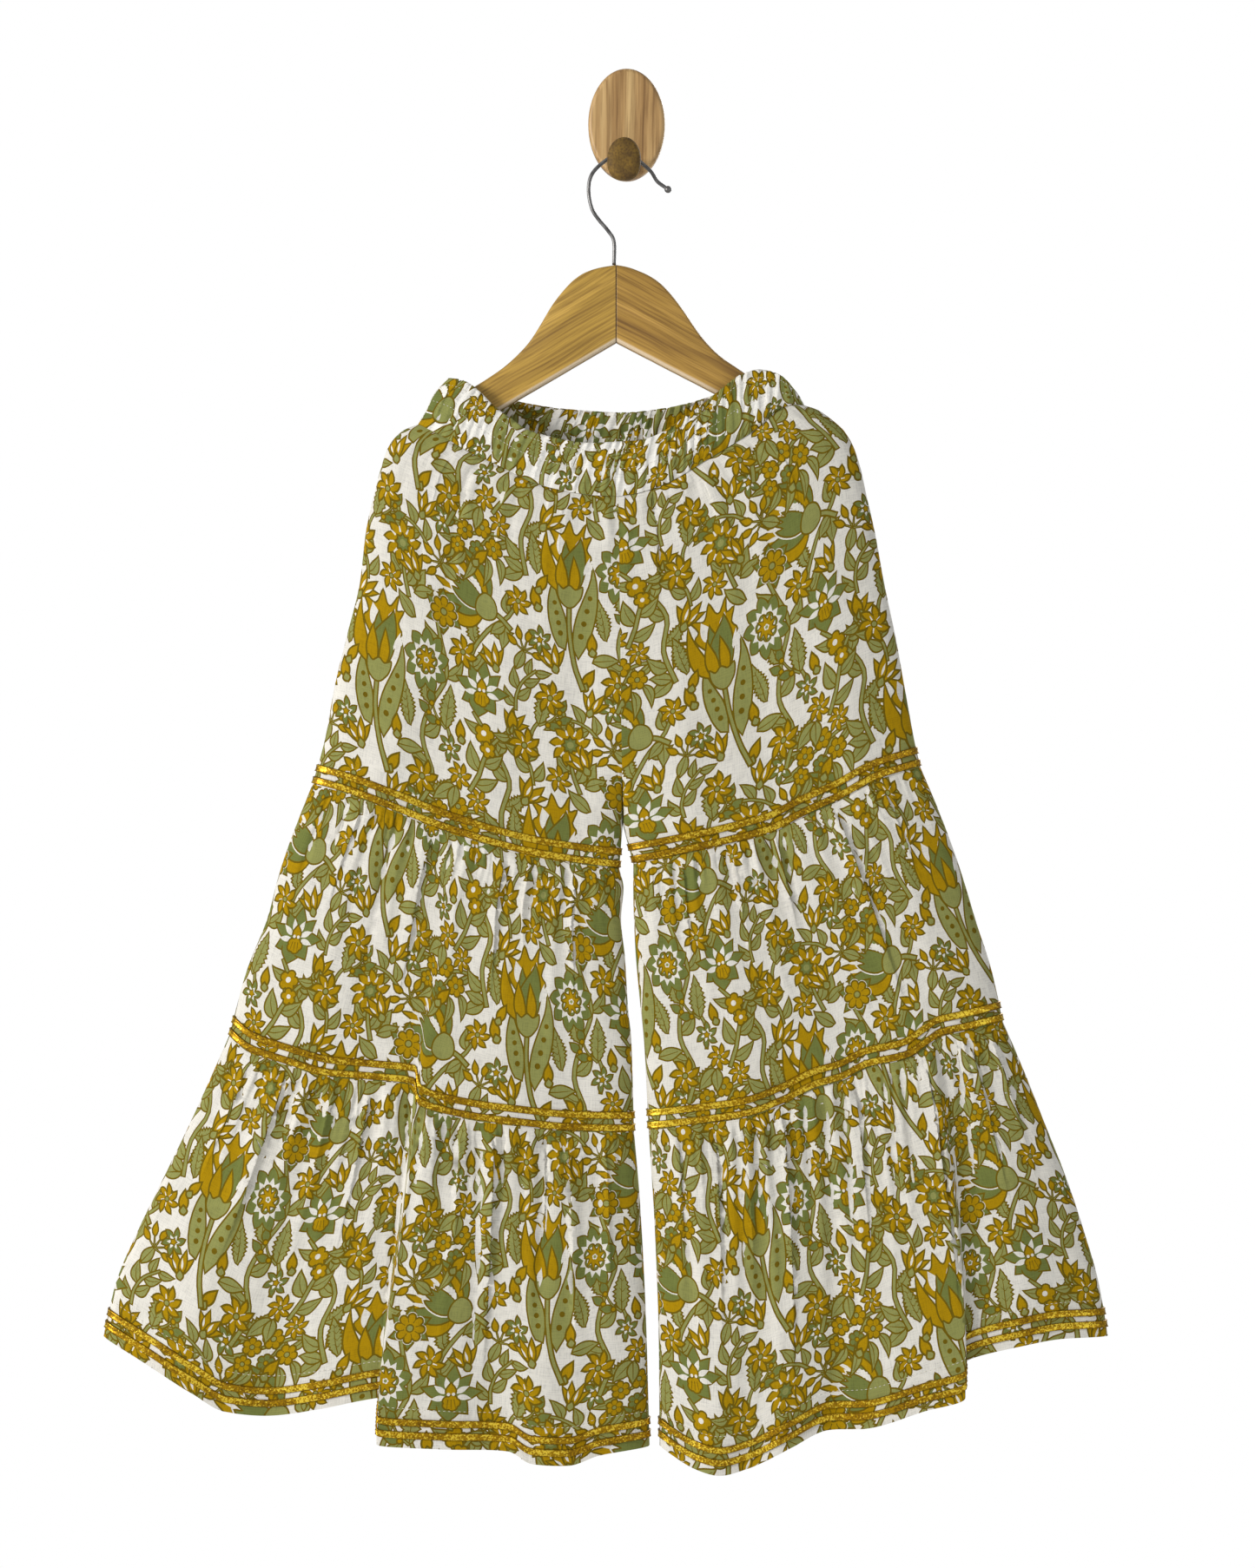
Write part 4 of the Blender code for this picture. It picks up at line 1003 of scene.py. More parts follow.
def lily(size=1.0):
    """Mustard lily seen from the side."""
    art = []
    for angle, length, width, curl in ((42, 14.5, 4.6, 1.5), (-40, 14.5, 4.8, -1.5),
                                       (18, 16.5, 5.2, 0), (-14, 16.5, 5.0, 0)):
        art += moved(inked("mustard", leaf(length, width, 0, curl)), 0, 0, angle)
    for length, width, x, angle in ((7, 1.5, 1.2, -2), (6, 1.3, -2.6, 26)):
        art.append(("ground", turned(leaf(length, width, points=7), x, 4, angle)))
    art += moved(inked("sage", leaf(6.5, 4.6)), 0, -2.5)
    return moved(art, scale=size)


def bud(size=1.0):
    """Mustard bud on a green cup."""
    art = inked("mustard", leaf(11, 5.2, 0.8))
    return moved(art + inked("sage", leaf(5, 4.2) - (0, 1.8)), scale=size)


def lily_sprig():
    """A lily and two small round flowers on a twig with five leaves."""
    leaves = ((0.12, 1, 17, 7.5, 3, 0), (0.3, -1, 18, 8.5, 3, 0), (0.42, 1, 16, 7, 3, 0),
              (0.62, -1, 13, 6, 2, 0), (0.8, 1, 12, 5.5, 2, 0))
    art = vine([(-10, -24), (-4, -12), (0, 0), (6, 11), (14, 20)], 2.8, leaves)
    art += moved(lily(0.95), 15, 21, -22)
    art += moved(inked("mustard", rosette(6.6, 5, 0.28)), -1, 14, 10)
    art += moved(inked("mustard", rosette(5.2, 5, 0.28)), 2, 5, 40)
    return art + [("ground", dot(1.8) + (-1.5, 14.5)), ("ground", dot(1.4) + (2, 5))]


def cluster():
    """Five little round flowers over long drooping leaves."""
    twigs = ((0.2, -1, 13, 5, 3, 0), (0.55, -1, 13, 5, 3, 0))
    art = vine([(26, 8), (14, 10), (4, 8), (-6, 4)], 2.4, twigs)
    for x, y, angle, length in ((-14, 0, 118, 17), (-10, -8, 148, 18), (-3, -8, 170, 21),
                                (6, -7, 188, 19), (13, -4, 206, 17), (-15, 8, 84, 17),
                                (-20, -8, 165, 13)):
        art += moved(veined_leaf("sage", length, 5.6, 3, -2), x, y, angle)
    for x, y, radius, ink in ((-12, 4, 6.0, "mustard"), (0, 10, 6.6, "mustard"), (10, 0, 6.6, "mustard"),
                              (-16, -7, 5.4, "mustard"), (-2, -5, 5.6, "leafblue")):
        other = "sage" if ink == "mustard" else "mustard"
        art += moved(inked(ink, rosette(radius, 6, 0.26)), x, y, 17 * x)
        art += moved(spokes(radius, 6, "line", 0.4, 0.7, 0.5), x, y, 17 * x)
        art += inked(other, dot(radius * 0.27) + (x, y), 0.7)
    return art


def thistle():
    """Toothed leaf with a forked twig of three green buds."""
    art = vine([(0, -30), (-3, -14), (1, 0)], 2.6)
    art += moved(veined_leaf("sage", 31, 10.5, 2, 1, 3, 3), 0, -8, 10)
    art += inked("sage", stroke(curve_through([(0, -8), (7, -1), (11, 8)], 3), 1.8), 0.8)
    for x, y, angle in ((11, 7, -8), (13, 0, -48), (6, -5, -78)):
        art += moved(inked("leafblue", leaf(10.5, 6.0)), x, y, angle)
        art += moved(inked("mustard", dot(1.9)), x, y, angle)
    return art


def bud_spray():
    """Fan of thin mustard buds from one leaf."""
    art = moved(veined_leaf("sage", 16, 7, 0), 0, -15, 0)
    for angle, length in ((80, 12), (42, 15), (6, 14), (-38, 15), (-76, 12)):
        a = math.radians(angle)
        art += moved(inked("sage", stroke([(0, 0), (0, length * 0.55)], 1.3), 0.7), 0, -1, angle)
        art += moved(inked("mustard", leaf(9.5, 4.4, 0.8)), -(length * 0.5) * math.sin(a),
                     -1 + length * 0.5 * math.cos(a), angle)
    return art


def leaf_pair():
    return (moved(veined_leaf("sage", 18, 8.5, 3, 1), 0, 0, 26)
            + moved(veined_leaf("sage", 15, 7.5, -3, -1), 0, 0, -40))


def toothed_leaf():
    return veined_leaf("sage", 30, 9.5, 3, 2, 4, 4)


def plain_leaf():
    return veined_leaf("sage", 18, 8.0, 4, 1.5)


def spray():
    """Curling twig of six leaves."""
    leaves = ((0.10, 1, 14, 6.6, 3, 0), (0.26, -1, 14, 6.6, 3, 0), (0.44, 1, 15, 6.8, 3, 0),
              (0.62, -1, 13, 6.0, 3, 0), (0.80, 1, 12, 5.6, 2, 0), (0.96, -1, 12, 5.4, 2, 0))
    return vine([(0, 0), (3, 10), (2, 21), (-4, 32)], 2.2, leaves)


def vine_tall():
    leaves = ((0.08, 1, 19, 8.5, 4, 2), (0.20, -1, 17, 8.0, 4, 0), (0.33, 1, 18, 8.0, 4, 0),
              (0.47, -1, 18, 8.0, 4, 2), (0.62, 1, 17, 7.5, 4, 0), (0.76, -1, 16, 7.0, 4, 0),
              (0.90, 1, 14, 6.5, 3, 0))
    return vine([(0, -24), (6, -4), (-2, 18), (2, 40), (10, 62), (2, 84), (-8, 112)], 3.0, leaves)


def vine_low():
    leaves = ((0.12, -1, 17, 8.0, 4, 0), (0.30, 1, 18, 8.5, 4, 2), (0.50, -1, 17, 7.5, 4, 0),
              (0.68, 1, 16, 7.0, 4, 0), (0.86, -1, 14, 6.5, 3, 0))
    return vine([(10, 0), (4, 22), (8, 44), (-4, 64), (-18, 80)], 3.0, leaves)


def vine_side():
    leaves = ((0.16, 1, 16, 7.5, 4, 0), (0.36, -1, 17, 7.5, 4, 2), (0.56, 1, 16, 7.0, 3, 0),
              (0.78, -1, 14, 6.5, 3, 0))
    return vine([(8, -28), (2, -8), (12, 12), (26, 26), (34, 44)], 2.8, leaves)


# One repeat of the print. Columns: what, x, y, angle, size, and True where it is mirrored
REPEAT = (
    ("vine_tall", 63, 4, 0, 1.0), ("vine_low", 112, -30, 0, 1.0), ("vine_side", 86, 92, 0, 1.0),
    ("spray", 10, 104, 24, 1.0), ("spray", 122, 60, -14, 0.95, True), ("spray", 52, 140, 66, 0.95),
    ("thistle", 76, 40, 6, 0.9, True), ("thistle", 14, 150, -14, 0.9),
    ("plain_leaf", 46, 92, 60, 1.0), ("plain_leaf", 44, 12, -70, 1.0),
    ("toothed_leaf", 52, 26, 20, 0.9), ("toothed_leaf", 4, 62, 10, 0.9, True),
    ("leaf_pair", 44, 108, -40, 1.0), ("leaf_pair", 120, 150, 100, 1.0),
    ("leaf_pair", 84, 0, 150, 1.0, True), ("leaf_pair", 110, 112, 160, 0.9),
    ("tulip", 26, 52, 4, 1.04), ("open_tulip", 96, 118, 66, 1.05), ("orchid", 98, 64, 6, 0.95),
    ("ragged_bloom", 58, 70, 10, 0.8), ("sunburst", 34, 134, 8, 1.05), ("daisy", 66, 104, 0, 1.1),
    ("lily_sprig", 104, 24, 0, 1.02), ("cluster", 88, 156, 0, 0.98),
    ("bud_spray", 62, 134, 60, 0.98), ("bud_spray", 124, 100, -20, 0.95),
    ("mustard_star", 4, 128, 12, 1.2), ("mustard_star", 82, 84, 30, 1.1),
    ("mustard_star", 62, -2, 0, 1.2), ("mustard_star", 18, 162, 15, 1.15),
    ("green_star", 60, 160, 0, 1.0), ("green_star", 8, 20, 20, 0.95),
    ("mustard_star", 118, 130, 40, 1.0), ("green_star", 80, 22, 10, 0.9),
    ("lily", 46, 118, 30, 1.05), ("lily", 124, 172, -150, 1.05), ("lily", 4, 92, -30, 1.08, True),
    ("bud", 86, 142, -30, 1.25), ("bud", 6, 40, 25, 1.25), ("bud", 122, 46, 15, 1.25),
    ("bud", 40, 172, -20, 1.25), ("mustard_star", 27, 111, 20, 0.95), ("lily", 20, 3, 20, 1.02),
    ("lily", 45, 156, -20, 0.98), ("lily", 106, 82, 25, 1.0), ("mustard_star", 87, 7, 0, 0.9),
    ("bud", 88, 29, 15, 1.15), ("bud", 5, 51, -20, 1.15), ("mustard_star", 100, 173, 0, 0.85),
    ("bud", 44, 17, 10, 1.2),
)

MOTIFS = {f.__name__: f for f in (
    tulip, open_tulip, orchid, ragged_bloom, daisy, mustard_star, green_star, sunburst, lily, bud,
    lily_sprig, cluster, thistle, bud_spray, leaf_pair, toothed_leaf, plain_leaf, spray,
    vine_tall, vine_low, vine_side)}


def print_repeat():
    """All shapes of one repeat, from the back to the front."""
    made = {name: make() for name, make in MOTIFS.items()}
    art = []
    for name, *put in REPEAT:
        art += moved(made[name], *put)
    return [(ink, thinned(shape)) for ink, shape in art]


def print_on(width, length, shift, drop):
    """The shapes that touch a cut piece, s from -width/2 and t from 0 down to length."""
    art = []
    for column in range(-2, int(width / TILE_WIDTH) + 3):
        for row in range(-2, int(length / TILE_HEIGHT) + 3):
            dx = -width / 2 + column * TILE_WIDTH + shift
            dy = -length + row * TILE_HEIGHT + drop + (column % 2) * TILE_HEIGHT / 2
            for ink, shape in REPEAT_ART:
                placed = np.stack([shape[:, 0] + dx, -(shape[:, 1] + dy)], axis=-1)
                low = placed.min(axis=0)
                high = placed.max(axis=0)
                if high[0] < -width / 2 or low[0] > width / 2 or high[1] < 0 or low[1] > length:
                    continue
                art.append((ink, placed))
    return art


REPEAT_ART = print_repeat()


# Cloth meshes, in mm. Loose points stay off the cut's edge and out of cells with a printed edge
EDGE_MARGIN = 0.7
CROWDED_CELL = 1.7
LINING_STEP = 7.0
# The lining takes every third row of loose points
LINING_ROWS = 3
LINING_SHADE = (0.96, 0.96, 0.96, 1.0)
# Millimetres of cloth in one unit of the weave's coordinates
WEAVE_UNIT = 10.0
# Where a shell's parts lie in its own map: start and size, and the rim's two edges
MAP_ACROSS = (0.01, 0.98)
MAP_OUTER = (0.32, 0.67)
MAP_INNER = (0.01, 0.26)
MAP_RIM = (0.305, 0.285)


def evened(shape, step):
    """A polygon's outline split evenly into edges that are a step long or a little more."""
    points = []
    for a, b in zip(shape, shape[1:] + shape[:1]):
        count = max(int(math.dist(a, b) / step), 1)
        wide = b[0] - a[0]
        tall = b[1] - a[1]
        points += [(a[0] + wide * k / count, a[1] + tall * k / count) for k in range(count)]
    return points


def within(points, shape, margin):
    """Points inside a convex outline and at least a margin away from it."""
    keep = np.ones(len(points), bool)
    for a, b in zip(shape, shape[1:] + shape[:1]):
        a = np.array(a)
        way = np.array(b) - a
        way /= np.linalg.norm(way)
        keep &= way[0] * (points[:, 1] - a[1]) - way[1] * (points[:, 0] - a[0]) > margin
    return points[keep]


def loose_grid(shape, step, rows):
    """Staggered grid inside an outline, with rows at given heights."""
    low = min(p[0] for p in shape)
    high = max(p[0] for p in shape)
    points = []
    for k, t in enumerate(rows):
        wide = step(t)
        points += [(s, t) for s in np.arange(low + (k % 2) * wide / 2, high, wide)]
    return within(np.array(points), shape, EDGE_MARGIN)


def triangles_over(places, edges, shapes):
    """Triangles over places on the flat cloth that keep the edges and the shapes' outlines."""
    verts = [Vector((float(x), float(y))) for x, y in places]
    points, lines, triangles, spots, runs, owners = delaunay_2d_cdt(verts, edges, shapes, 0, 1e-4, True)
    return np.array([tuple(p) for p in points]), lines, np.array(triangles), spots, runs, owners


def neighbours(triangles):
    """For every triangle side its two ends and the triangle on its other side, or -1."""
    sides = triangles[:, [[0, 1], [1, 2], [2, 0]]].reshape(-1, 2)
    count = triangles.max() + 1
    key = sides[:, 0] * count + sides[:, 1]
    order = np.argsort(key)
    back = sides[:, 1] * count + sides[:, 0]
    at = np.minimum(np.searchsorted(key[order], back), len(key) - 1)
    return sides, np.where(key[order][at] == back, order[at] // 3, -1)


def ink_edges(outline, art):
    """Places and edges where one ink meets another or the cloth ends, and the ink on both sides."""
    shapes = [outline] + [counterclockwise(shape) for ink, shape in art]
    starts = np.cumsum([0] + [len(shape) for shape in shapes])
    rings = [list(range(a, b)) for a, b in zip(starts, starts[1:])]
    points, _, triangles, _, _, owners = triangles_over(np.concatenate(shapes), [], rings)
    kept = [k for k, owner in enumerate(owners) if 0 in owner]
    inks = np.array([INKS.index(art[max(owners[k]) - 1][0]) if max(owners[k]) else 0 for k in kept])
    sides, others = neighbours(triangles[kept])
    left = np.repeat(inks, 3)
    right = np.where(others < 0, -1, inks[others])
    once = (left != right) & ((sides[:, 0] < sides[:, 1]) | (right < 0))
    used, ends = np.unique(sides[once], return_inverse=True)
    return points[used], ends.reshape(-1, 2), left[once], right[once]


def cut_mesh(outline, art, loose, kept=()):
    """Triangles of a cut piece that keep every visible printed edge. Returns points, triangles, inks."""
    places, ends, left, right = ink_edges(outline, art)
    taken = set(map(tuple, np.floor(places / CROWDED_CELL).astype(int).tolist()))
    free = [tuple(cell) not in taken for cell in np.floor(loose / CROWDED_CELL).astype(int).tolist()]
    places = np.concatenate([places, loose[free], np.reshape(kept, (-1, 2))])
    points, lines, triangles, _, runs, _ = triangles_over(places, ends.tolist(), [])
    count = len(points)
    known = {}
    for (a, b), origin in zip(lines, runs):
        for k in origin:
            way = places[ends[k][1]] - places[ends[k][0]]
            same = np.dot(points[b] - points[a], way) > 0
            known[a * count + b] = left[k] if same else right[k]
            known[b * count + a] = right[k] if same else left[k]
    sides, others = neighbours(triangles)
    given = np.array([known.get(key, -2) for key in (sides[:, 0] * count + sides[:, 1]).tolist()])
    others[given > -2] = -1
    inks = given.reshape(-1, 3).max(axis=1)
    while (inks == -2).any():
        near = np.where(others < 0, -2, inks[others]).reshape(-1, 3).max(axis=1)
        fill = (inks == -2) & (near > -2)
        if not fill.any():
            break
        inks[fill] = near[fill]
    used, triangles = np.unique(triangles[inks >= 0], return_inverse=True)
    return points[used], triangles.reshape(-1, 3), inks[inks >= 0]


def lining_mesh(ring, loose):
    """Triangles inside a ring, and the point that each point of the ring became."""
    points, _, triangles, spots, _, owners = triangles_over(np.concatenate([ring, loose]), [],
                                                            [list(range(len(ring)))])
    became = {k: n for n, origins in enumerate(spots) for k in origins}
    kept = [k for k, owner in enumerate(owners) if owner]
    return points, triangles[kept], [became[k] for k in range(len(ring))]


def rim_loop(triangles):
    """The points round the edge of a mesh, in order."""
    sides, others = neighbours(triangles)
    after = dict(sides[others < 0].tolist())
    loop = [min(after)]
    while after[loop[-1]] != loop[0]:
        loop.append(after[loop[-1]])
    return loop


def outward(piece, s, t, step=0.5):
    """Unit vectors that point out of the cloth at places on the flat cut."""
    across = piece.points(s + step, t) - piece.points(s - step, t)
    down = piece.points(s, t + step) - piece.points(s, t - step)
    normal = np.cross(down, across)
    return normal / np.maximum(np.linalg.norm(normal, axis=1, keepdims=True), 1e-12)


def build_mesh(name, points, faces):
    mesh = bpy.data.meshes.new(name)
    mesh.from_pydata(points.tolist(), [], faces.tolist() if hasattr(faces, "tolist") else faces)
    mesh.polygons.foreach_set("use_smooth", [True] * len(mesh.polygons))
    return mesh


def carry(mesh, name, values):
    """Gives each point of a mesh a number or a vector that its material reads."""
    values = np.asarray(values, np.float32)
    kind, field = ("FLOAT_VECTOR", "vector") if values.ndim == 2 else ("FLOAT", "value")
    layer = mesh.attributes.new(name, kind, "POINT")
    layer.data.foreach_set(field, values.ravel())


def new_object(name, data):
    made = bpy.data.objects.new(name, data)
    bpy.context.scene.collection.objects.link(made)
    return made


def add_piece(name, mesh, material, nodes=()):
    """A piece of the garment or its hanger, which replaces solids unless it is only sewn on."""
    piece = new_object(name, mesh)
    mesh.materials.append(material)
    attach(piece, "root")
    if nodes:
        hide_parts(*nodes)
    return piece


def sew(piece, art, outline_step, step, rows, dyes, kept=()):
    """Closed thin shell: a printed outer layer, a plain inner layer and the rim between them."""
    corners = piece.outline()
    outline = evened(corners, outline_step)
    flat, triangles, inks = cut_mesh(outline, art, loose_grid(corners, step, rows), kept)
    loop = rim_loop(triangles)
    inside = loose_grid(corners, lambda t: LINING_STEP, rows[::LINING_ROWS])
    lining, lining_triangles, became = lining_mesh(flat[loop], inside)
    outer = piece.points(*flat.T)
    outer_normals = outward(piece, *flat.T)
    inner_normals = outward(piece, *lining.T)
    inner = piece.points(*lining.T) - inner_normals * CLOTH_THICK
    behind = [k + len(outer) for k in became]
    rim = []
    for a, b, c, d in zip(loop, loop[1:] + loop[:1], behind[1:] + behind[:1], behind):
        rim.append((a, b, c))
        if c != d:
            rim.append((a, c, d))
    faces = np.concatenate([triangles[:, ::-1], lining_triangles + len(outer), np.array(rim)])
    mesh = build_mesh(piece.name, np.concatenate([outer, inner]), faces)
    plain = np.tile(dyes[0] * LINING_SHADE, (len(lining_triangles) + len(rim), 1))
    face_dye = np.concatenate([dyes[inks], plain])
    dye = mesh.color_attributes.new("dye", "FLOAT_COLOR", "CORNER")
    dye.data.foreach_set("color", np.repeat(face_dye, 3, axis=0).astype(np.float32).ravel())
    places = np.concatenate([flat, lining])
    at = places[faces.ravel()]
    weave = mesh.uv_layers.new(name="weave")
    weave.uv.foreach_set("vector", (at / WEAVE_UNIT).astype(np.float32).ravel())
    low = places.min(axis=0)
    share = (at - low) / (places.max(axis=0) - low)
    edge, wide = MAP_ACROSS
    sheet_map = np.empty_like(share)
    sheet_map[:, 0] = edge + wide * share[:, 0]
    first = 3 * len(triangles)
    second = first + 3 * len(lining_triangles)
    for part, (base, tall) in ((slice(0, first), MAP_OUTER), (slice(first, second), MAP_INNER)):
        sheet_map[part, 1] = base + tall * share[part, 1]
    high, bottom = MAP_RIM
    strip = []
    for k in range(len(rim)):
        a = edge + wide * k / len(rim)
        b = edge + wide * (k + 1) / len(rim)
        strip += [(a, high), (b, high), (b, bottom)]
    sheet_map[second:] = strip
    layer = mesh.uv_layers.new(name="OFBake")
    layer.uv.foreach_set("vector", sheet_map.astype(np.float32).ravel())
    mesh.uv_layers.active = mesh.uv_layers["weave"]
    normals = np.concatenate([outer_normals, -inner_normals])
    mesh.normals_split_custom_set_from_vertices(normals.tolist())
    return add_piece(piece.name + "_cloth", mesh, COTTON, [piece.name])


# Materials
def new_material(name, roughness, metallic=0.0):
    material = bpy.data.materials.new(name)
    material.use_nodes = True
    tree = material.node_tree
    shader = tree.nodes["Principled BSDF"]
    shader.inputs["Roughness"].default_value = roughness
    shader.inputs["Metallic"].default_value = metallic
    return material, tree, shader


def node(tree, kind, inputs=(), **settings):
    """A node with its settings, and its inputs set or linked."""
    made = tree.nodes.new(kind)
    for key, value in settings.items():
        setattr(made, key, value)
    for key, value in dict(inputs).items():
        if hasattr(value, "is_linked"):
            tree.links.new(value, made.inputs[key])
        else:
            made.inputs[key].default_value = value
    return made


def mixed(tree, factor, first, second, how="MIX"):
    inputs = {0: factor, 6: first, 7: second}
    return node(tree, "ShaderNodeMix", inputs, data_type="RGBA", blend_type=how).outputs[2]


def maths(tree, how, first, second):
    return node(tree, "ShaderNodeMath", {0: first, 1: second}, operation=how).outputs[0]


def noise(tree, place, scale, detail, output=0, **more):
    inputs = {"Vector": place, "Scale": scale, "Detail": detail, **more}
    return node(tree, "ShaderNodeTexNoise", inputs).outputs[output]


def carried(tree, name, output="Fac"):
    """What the points of the mesh carry under a name."""
    return node(tree, "ShaderNodeAttribute", attribute_name=name).outputs[output]


def own_place(tree):
    return node(tree, "ShaderNodeTexCoord").outputs["Object"]


def finished(material, tree, shader, colour, height=None, strength=0.0, depth=0.0):
    """The material with its colour and, where it has one, its fine bumps."""
    tree.links.new(colour, shader.inputs["Base Color"])
    if height is not None:
        inputs = {"Height": height, "Strength": strength, "Distance": depth}
        tree.links.new(node(tree, "ShaderNodeBump", inputs).outputs[0], shader.inputs["Normal"])
    return material


def ramp(tree, value, stops):
    made = tree.nodes.new("ShaderNodeValToRGB")
    tree.links.new(value, made.inputs[0])
    while len(made.color_ramp.elements) < len(stops):
        made.color_ramp.elements.new(0.5)
    for element, (place, colour) in zip(made.color_ramp.elements, stops):
        element.position = place
        element.color = (*colour, 1.0) if len(colour) == 3 else colour
    return made.outputs[0]


def linear(hexed):
    """Linear colour of a six-figure hex colour."""
    parts = [int(hexed[k:k + 2], 16) / 255 for k in (0, 2, 4)]
    return tuple(p / 12.92 if p <= 0.04045 else ((p + 0.055) / 1.055) ** 2.4 for p in parts)


def printed_cotton():
    """Thin slub cotton: the dye comes from the mesh, the weave from the flat cloth."""
    material, tree, shader = new_material("printed_cotton", 0.88)
    shader.inputs["Sheen Weight"].default_value = 0.03
    shader.inputs["Sheen Roughness"].default_value = 0.5
    shader.inputs["Specular IOR Level"].default_value = 0.12
    dye = node(tree, "ShaderNodeVertexColor", layer_name="dye").outputs["Color"]
    cloth = node(tree, "ShaderNodeUVMap", uv_map="weave").outputs[0]
    slubs = []
    for stretch, seed in (((9.0, 0.55, 1.0), 0.0), ((0.55, 9.0, 1.0), 7.3)):
        inputs = {0: cloth, 1: (seed, seed, 0.0), 3: stretch}
        stretched = node(tree, "ShaderNodeMapping", inputs).outputs[0]
        slubs.append(noise(tree, stretched, 2.0, 3.0, Roughness=0.65))
    both = maths(tree, "ADD", *slubs)
    threads = []
    for way in ("X", "Y"):
        inputs = {"Vector": cloth, "Scale": 5.2, "Distortion": 1.2, "Detail": 1.0, "Detail Scale": 3.0}
        wave = node(tree, "ShaderNodeTexWave", inputs, bands_direction=way)
        threads.append(wave.outputs["Fac"])
    crossed = maths(tree, "MULTIPLY", *threads)
    shade = ramp(tree, both, ((0.74, (0.80, 0.80, 0.80)), (1.0, (1.0, 1.0, 1.0)),
                              (1.28, (1.06, 1.06, 1.05))))
    tone = mixed(tree, 1.0, dye, shade, "MULTIPLY")
    blotch = noise(tree, cloth, 0.9, 2.0)
    blotch = ramp(tree, blotch, ((0.3, (0.95, 0.95, 0.94)), (0.7, (1.03, 1.03, 1.03))))
    tone = mixed(tree, 1.0, tone, blotch, "MULTIPLY")
    height = maths(tree, "ADD", maths(tree, "MULTIPLY", both, 0.7), crossed)
    return finished(material, tree, shader, tone, height, 0.35, 0.0002)


def gold_braid():
    """Flat gilt ribbon with beaded edges: dull gold threads of random tone, with painted glints and broad
    painted highlights here and there.
    """
    material, tree, shader = new_material("gold_braid", 0.36, 0.75)
    place = own_place(tree)
    # Threads of random tone, whose brightest ones become painted glints, and broad painted highlights that
    # come and go along the ribbon
    glint = node(tree, "ShaderNodeTexVoronoi", {"Vector": place, "Scale": 1100.0}).outputs["Color"]
    highlight_patches = noise(tree, place, 42.0, 2.0)
    grey = node(tree, "ShaderNodeSeparateColor", {0: glint}).outputs[0]
    highlight_patches = ramp(tree, highlight_patches, ((0.4, (0.0, 0.0, 0.0)), (0.66, (0.55, 0.55, 0.55))))
    both = maths(tree, "ADD", grey, highlight_patches)
    # Dark to middle gold for the threads; the last, bright yellow stop is a painted glint
    colour = ramp(tree, both, ((0.1, linear("7A5800")), (0.55, linear("A27A00")), (0.9, linear("B98E04")),
                               (1.0, linear("F0D040"))))
    colour = mixed(tree, carried(tree, "edge"), colour, (*linear("6E5000"), 1.0))
    return finished(material, tree, shader, colour, grey, 0.5, 0.0003)


def hanger_wood(name, dark, middle, light, bevel_highlight_colour, roughness=0.5, coat=0.12):
    """Wood whose grain runs along the mesh's own grain coordinates, with a painted highlight on the lower
    bevel and painted shade in the joint's groove, where the mesh carries them.
    """
    material, tree, shader = new_material(name, roughness)
    shader.inputs["Coat Weight"].default_value = coat
    shader.inputs["Coat Roughness"].default_value = 0.35
    grain = carried(tree, "grain", "Vector")
    wavy = noise(tree, grain, 14.0, 2.0, "Color")
    small = {0: wavy, 1: (0.004, 0.004, 0.004)}
    wavy = node(tree, "ShaderNodeVectorMath", small, operation="MULTIPLY").outputs[0]
    bent = node(tree, "ShaderNodeVectorMath", {0: grain, 1: wavy}, operation="ADD").outputs[0]
    fine = node(tree, "ShaderNodeMapping", {0: bent, 3: (18.0, 700.0, 700.0)}).outputs[0]
    broad = node(tree, "ShaderNodeMapping", {0: bent, 3: (7.0, 130.0, 130.0)}).outputs[0]
    pores = noise(tree, fine, 1.0, 4.0)
    rings = noise(tree, broad, 1.0, 3.0)
    base = ramp(tree, rings, ((0.32, linear(dark)), (0.5, linear(middle)), (0.68, linear(light))))
    marks = ramp(tree, pores, ((0.34, (0.62, 0.57, 0.5)), (0.58, (1.07, 1.07, 1.07))))
    base = mixed(tree, 1.0, base, marks, "MULTIPLY")
    # Painted highlight: a light colour along the lower front bevel, as strong as the mesh's bevel value
    base = mixed(tree, carried(tree, "bevel"), base, (*linear(bevel_highlight_colour), 1.0))
    # Painted shade: a dark colour in the joint's groove, as strong as the mesh's joint value
    base = mixed(tree, carried(tree, "joint"), base, (*linear("4A300C"), 1.0))
    return finished(material, tree, shader, base, pores, 0.25, 0.0003)


def hook_steel():
    """Dull, slightly marked wire."""
    material, tree, shader = new_material("hook_steel", 0.42, 1.0)
    marks = noise(tree, own_place(tree), 220.0, 3.0)
    colour = ramp(tree, marks, ((0.35, (0.13, 0.125, 0.12)), (0.6, (0.24, 0.235, 0.23))))
    rough = ramp(tree, marks, ((0.3, (0.36, 0.36, 0.36)), (0.7, (0.52, 0.52, 0.52))))
    tree.links.new(rough, shader.inputs["Roughness"])
    return finished(material, tree, shader, colour)


def cotton_thread():
    """Twisted off-white sewing thread."""
    material, tree, shader = new_material("cotton_thread", 0.8)
    twist = noise(tree, own_place(tree), 900.0, 2.0)
    colour = ramp(tree, twist, ((0.3, linear("CFC8B6")), (0.7, linear("F2EEE4"))))
    return finished(material, tree, shader, colour)


DYES = np.array([(*linear(c), 1.0) for c in ("DCD8CF", "6C5906", "A58200", "8B8C50", "6E753B")])
BAND_DYES = np.array([(*linear(c), 1.0) for c in ("E9E6DF", "6A5708", "A58200", "878A4E", "6A723A")])
COTTON = printed_cotton()
BRAID = gold_braid()
THREAD = cotton_thread()
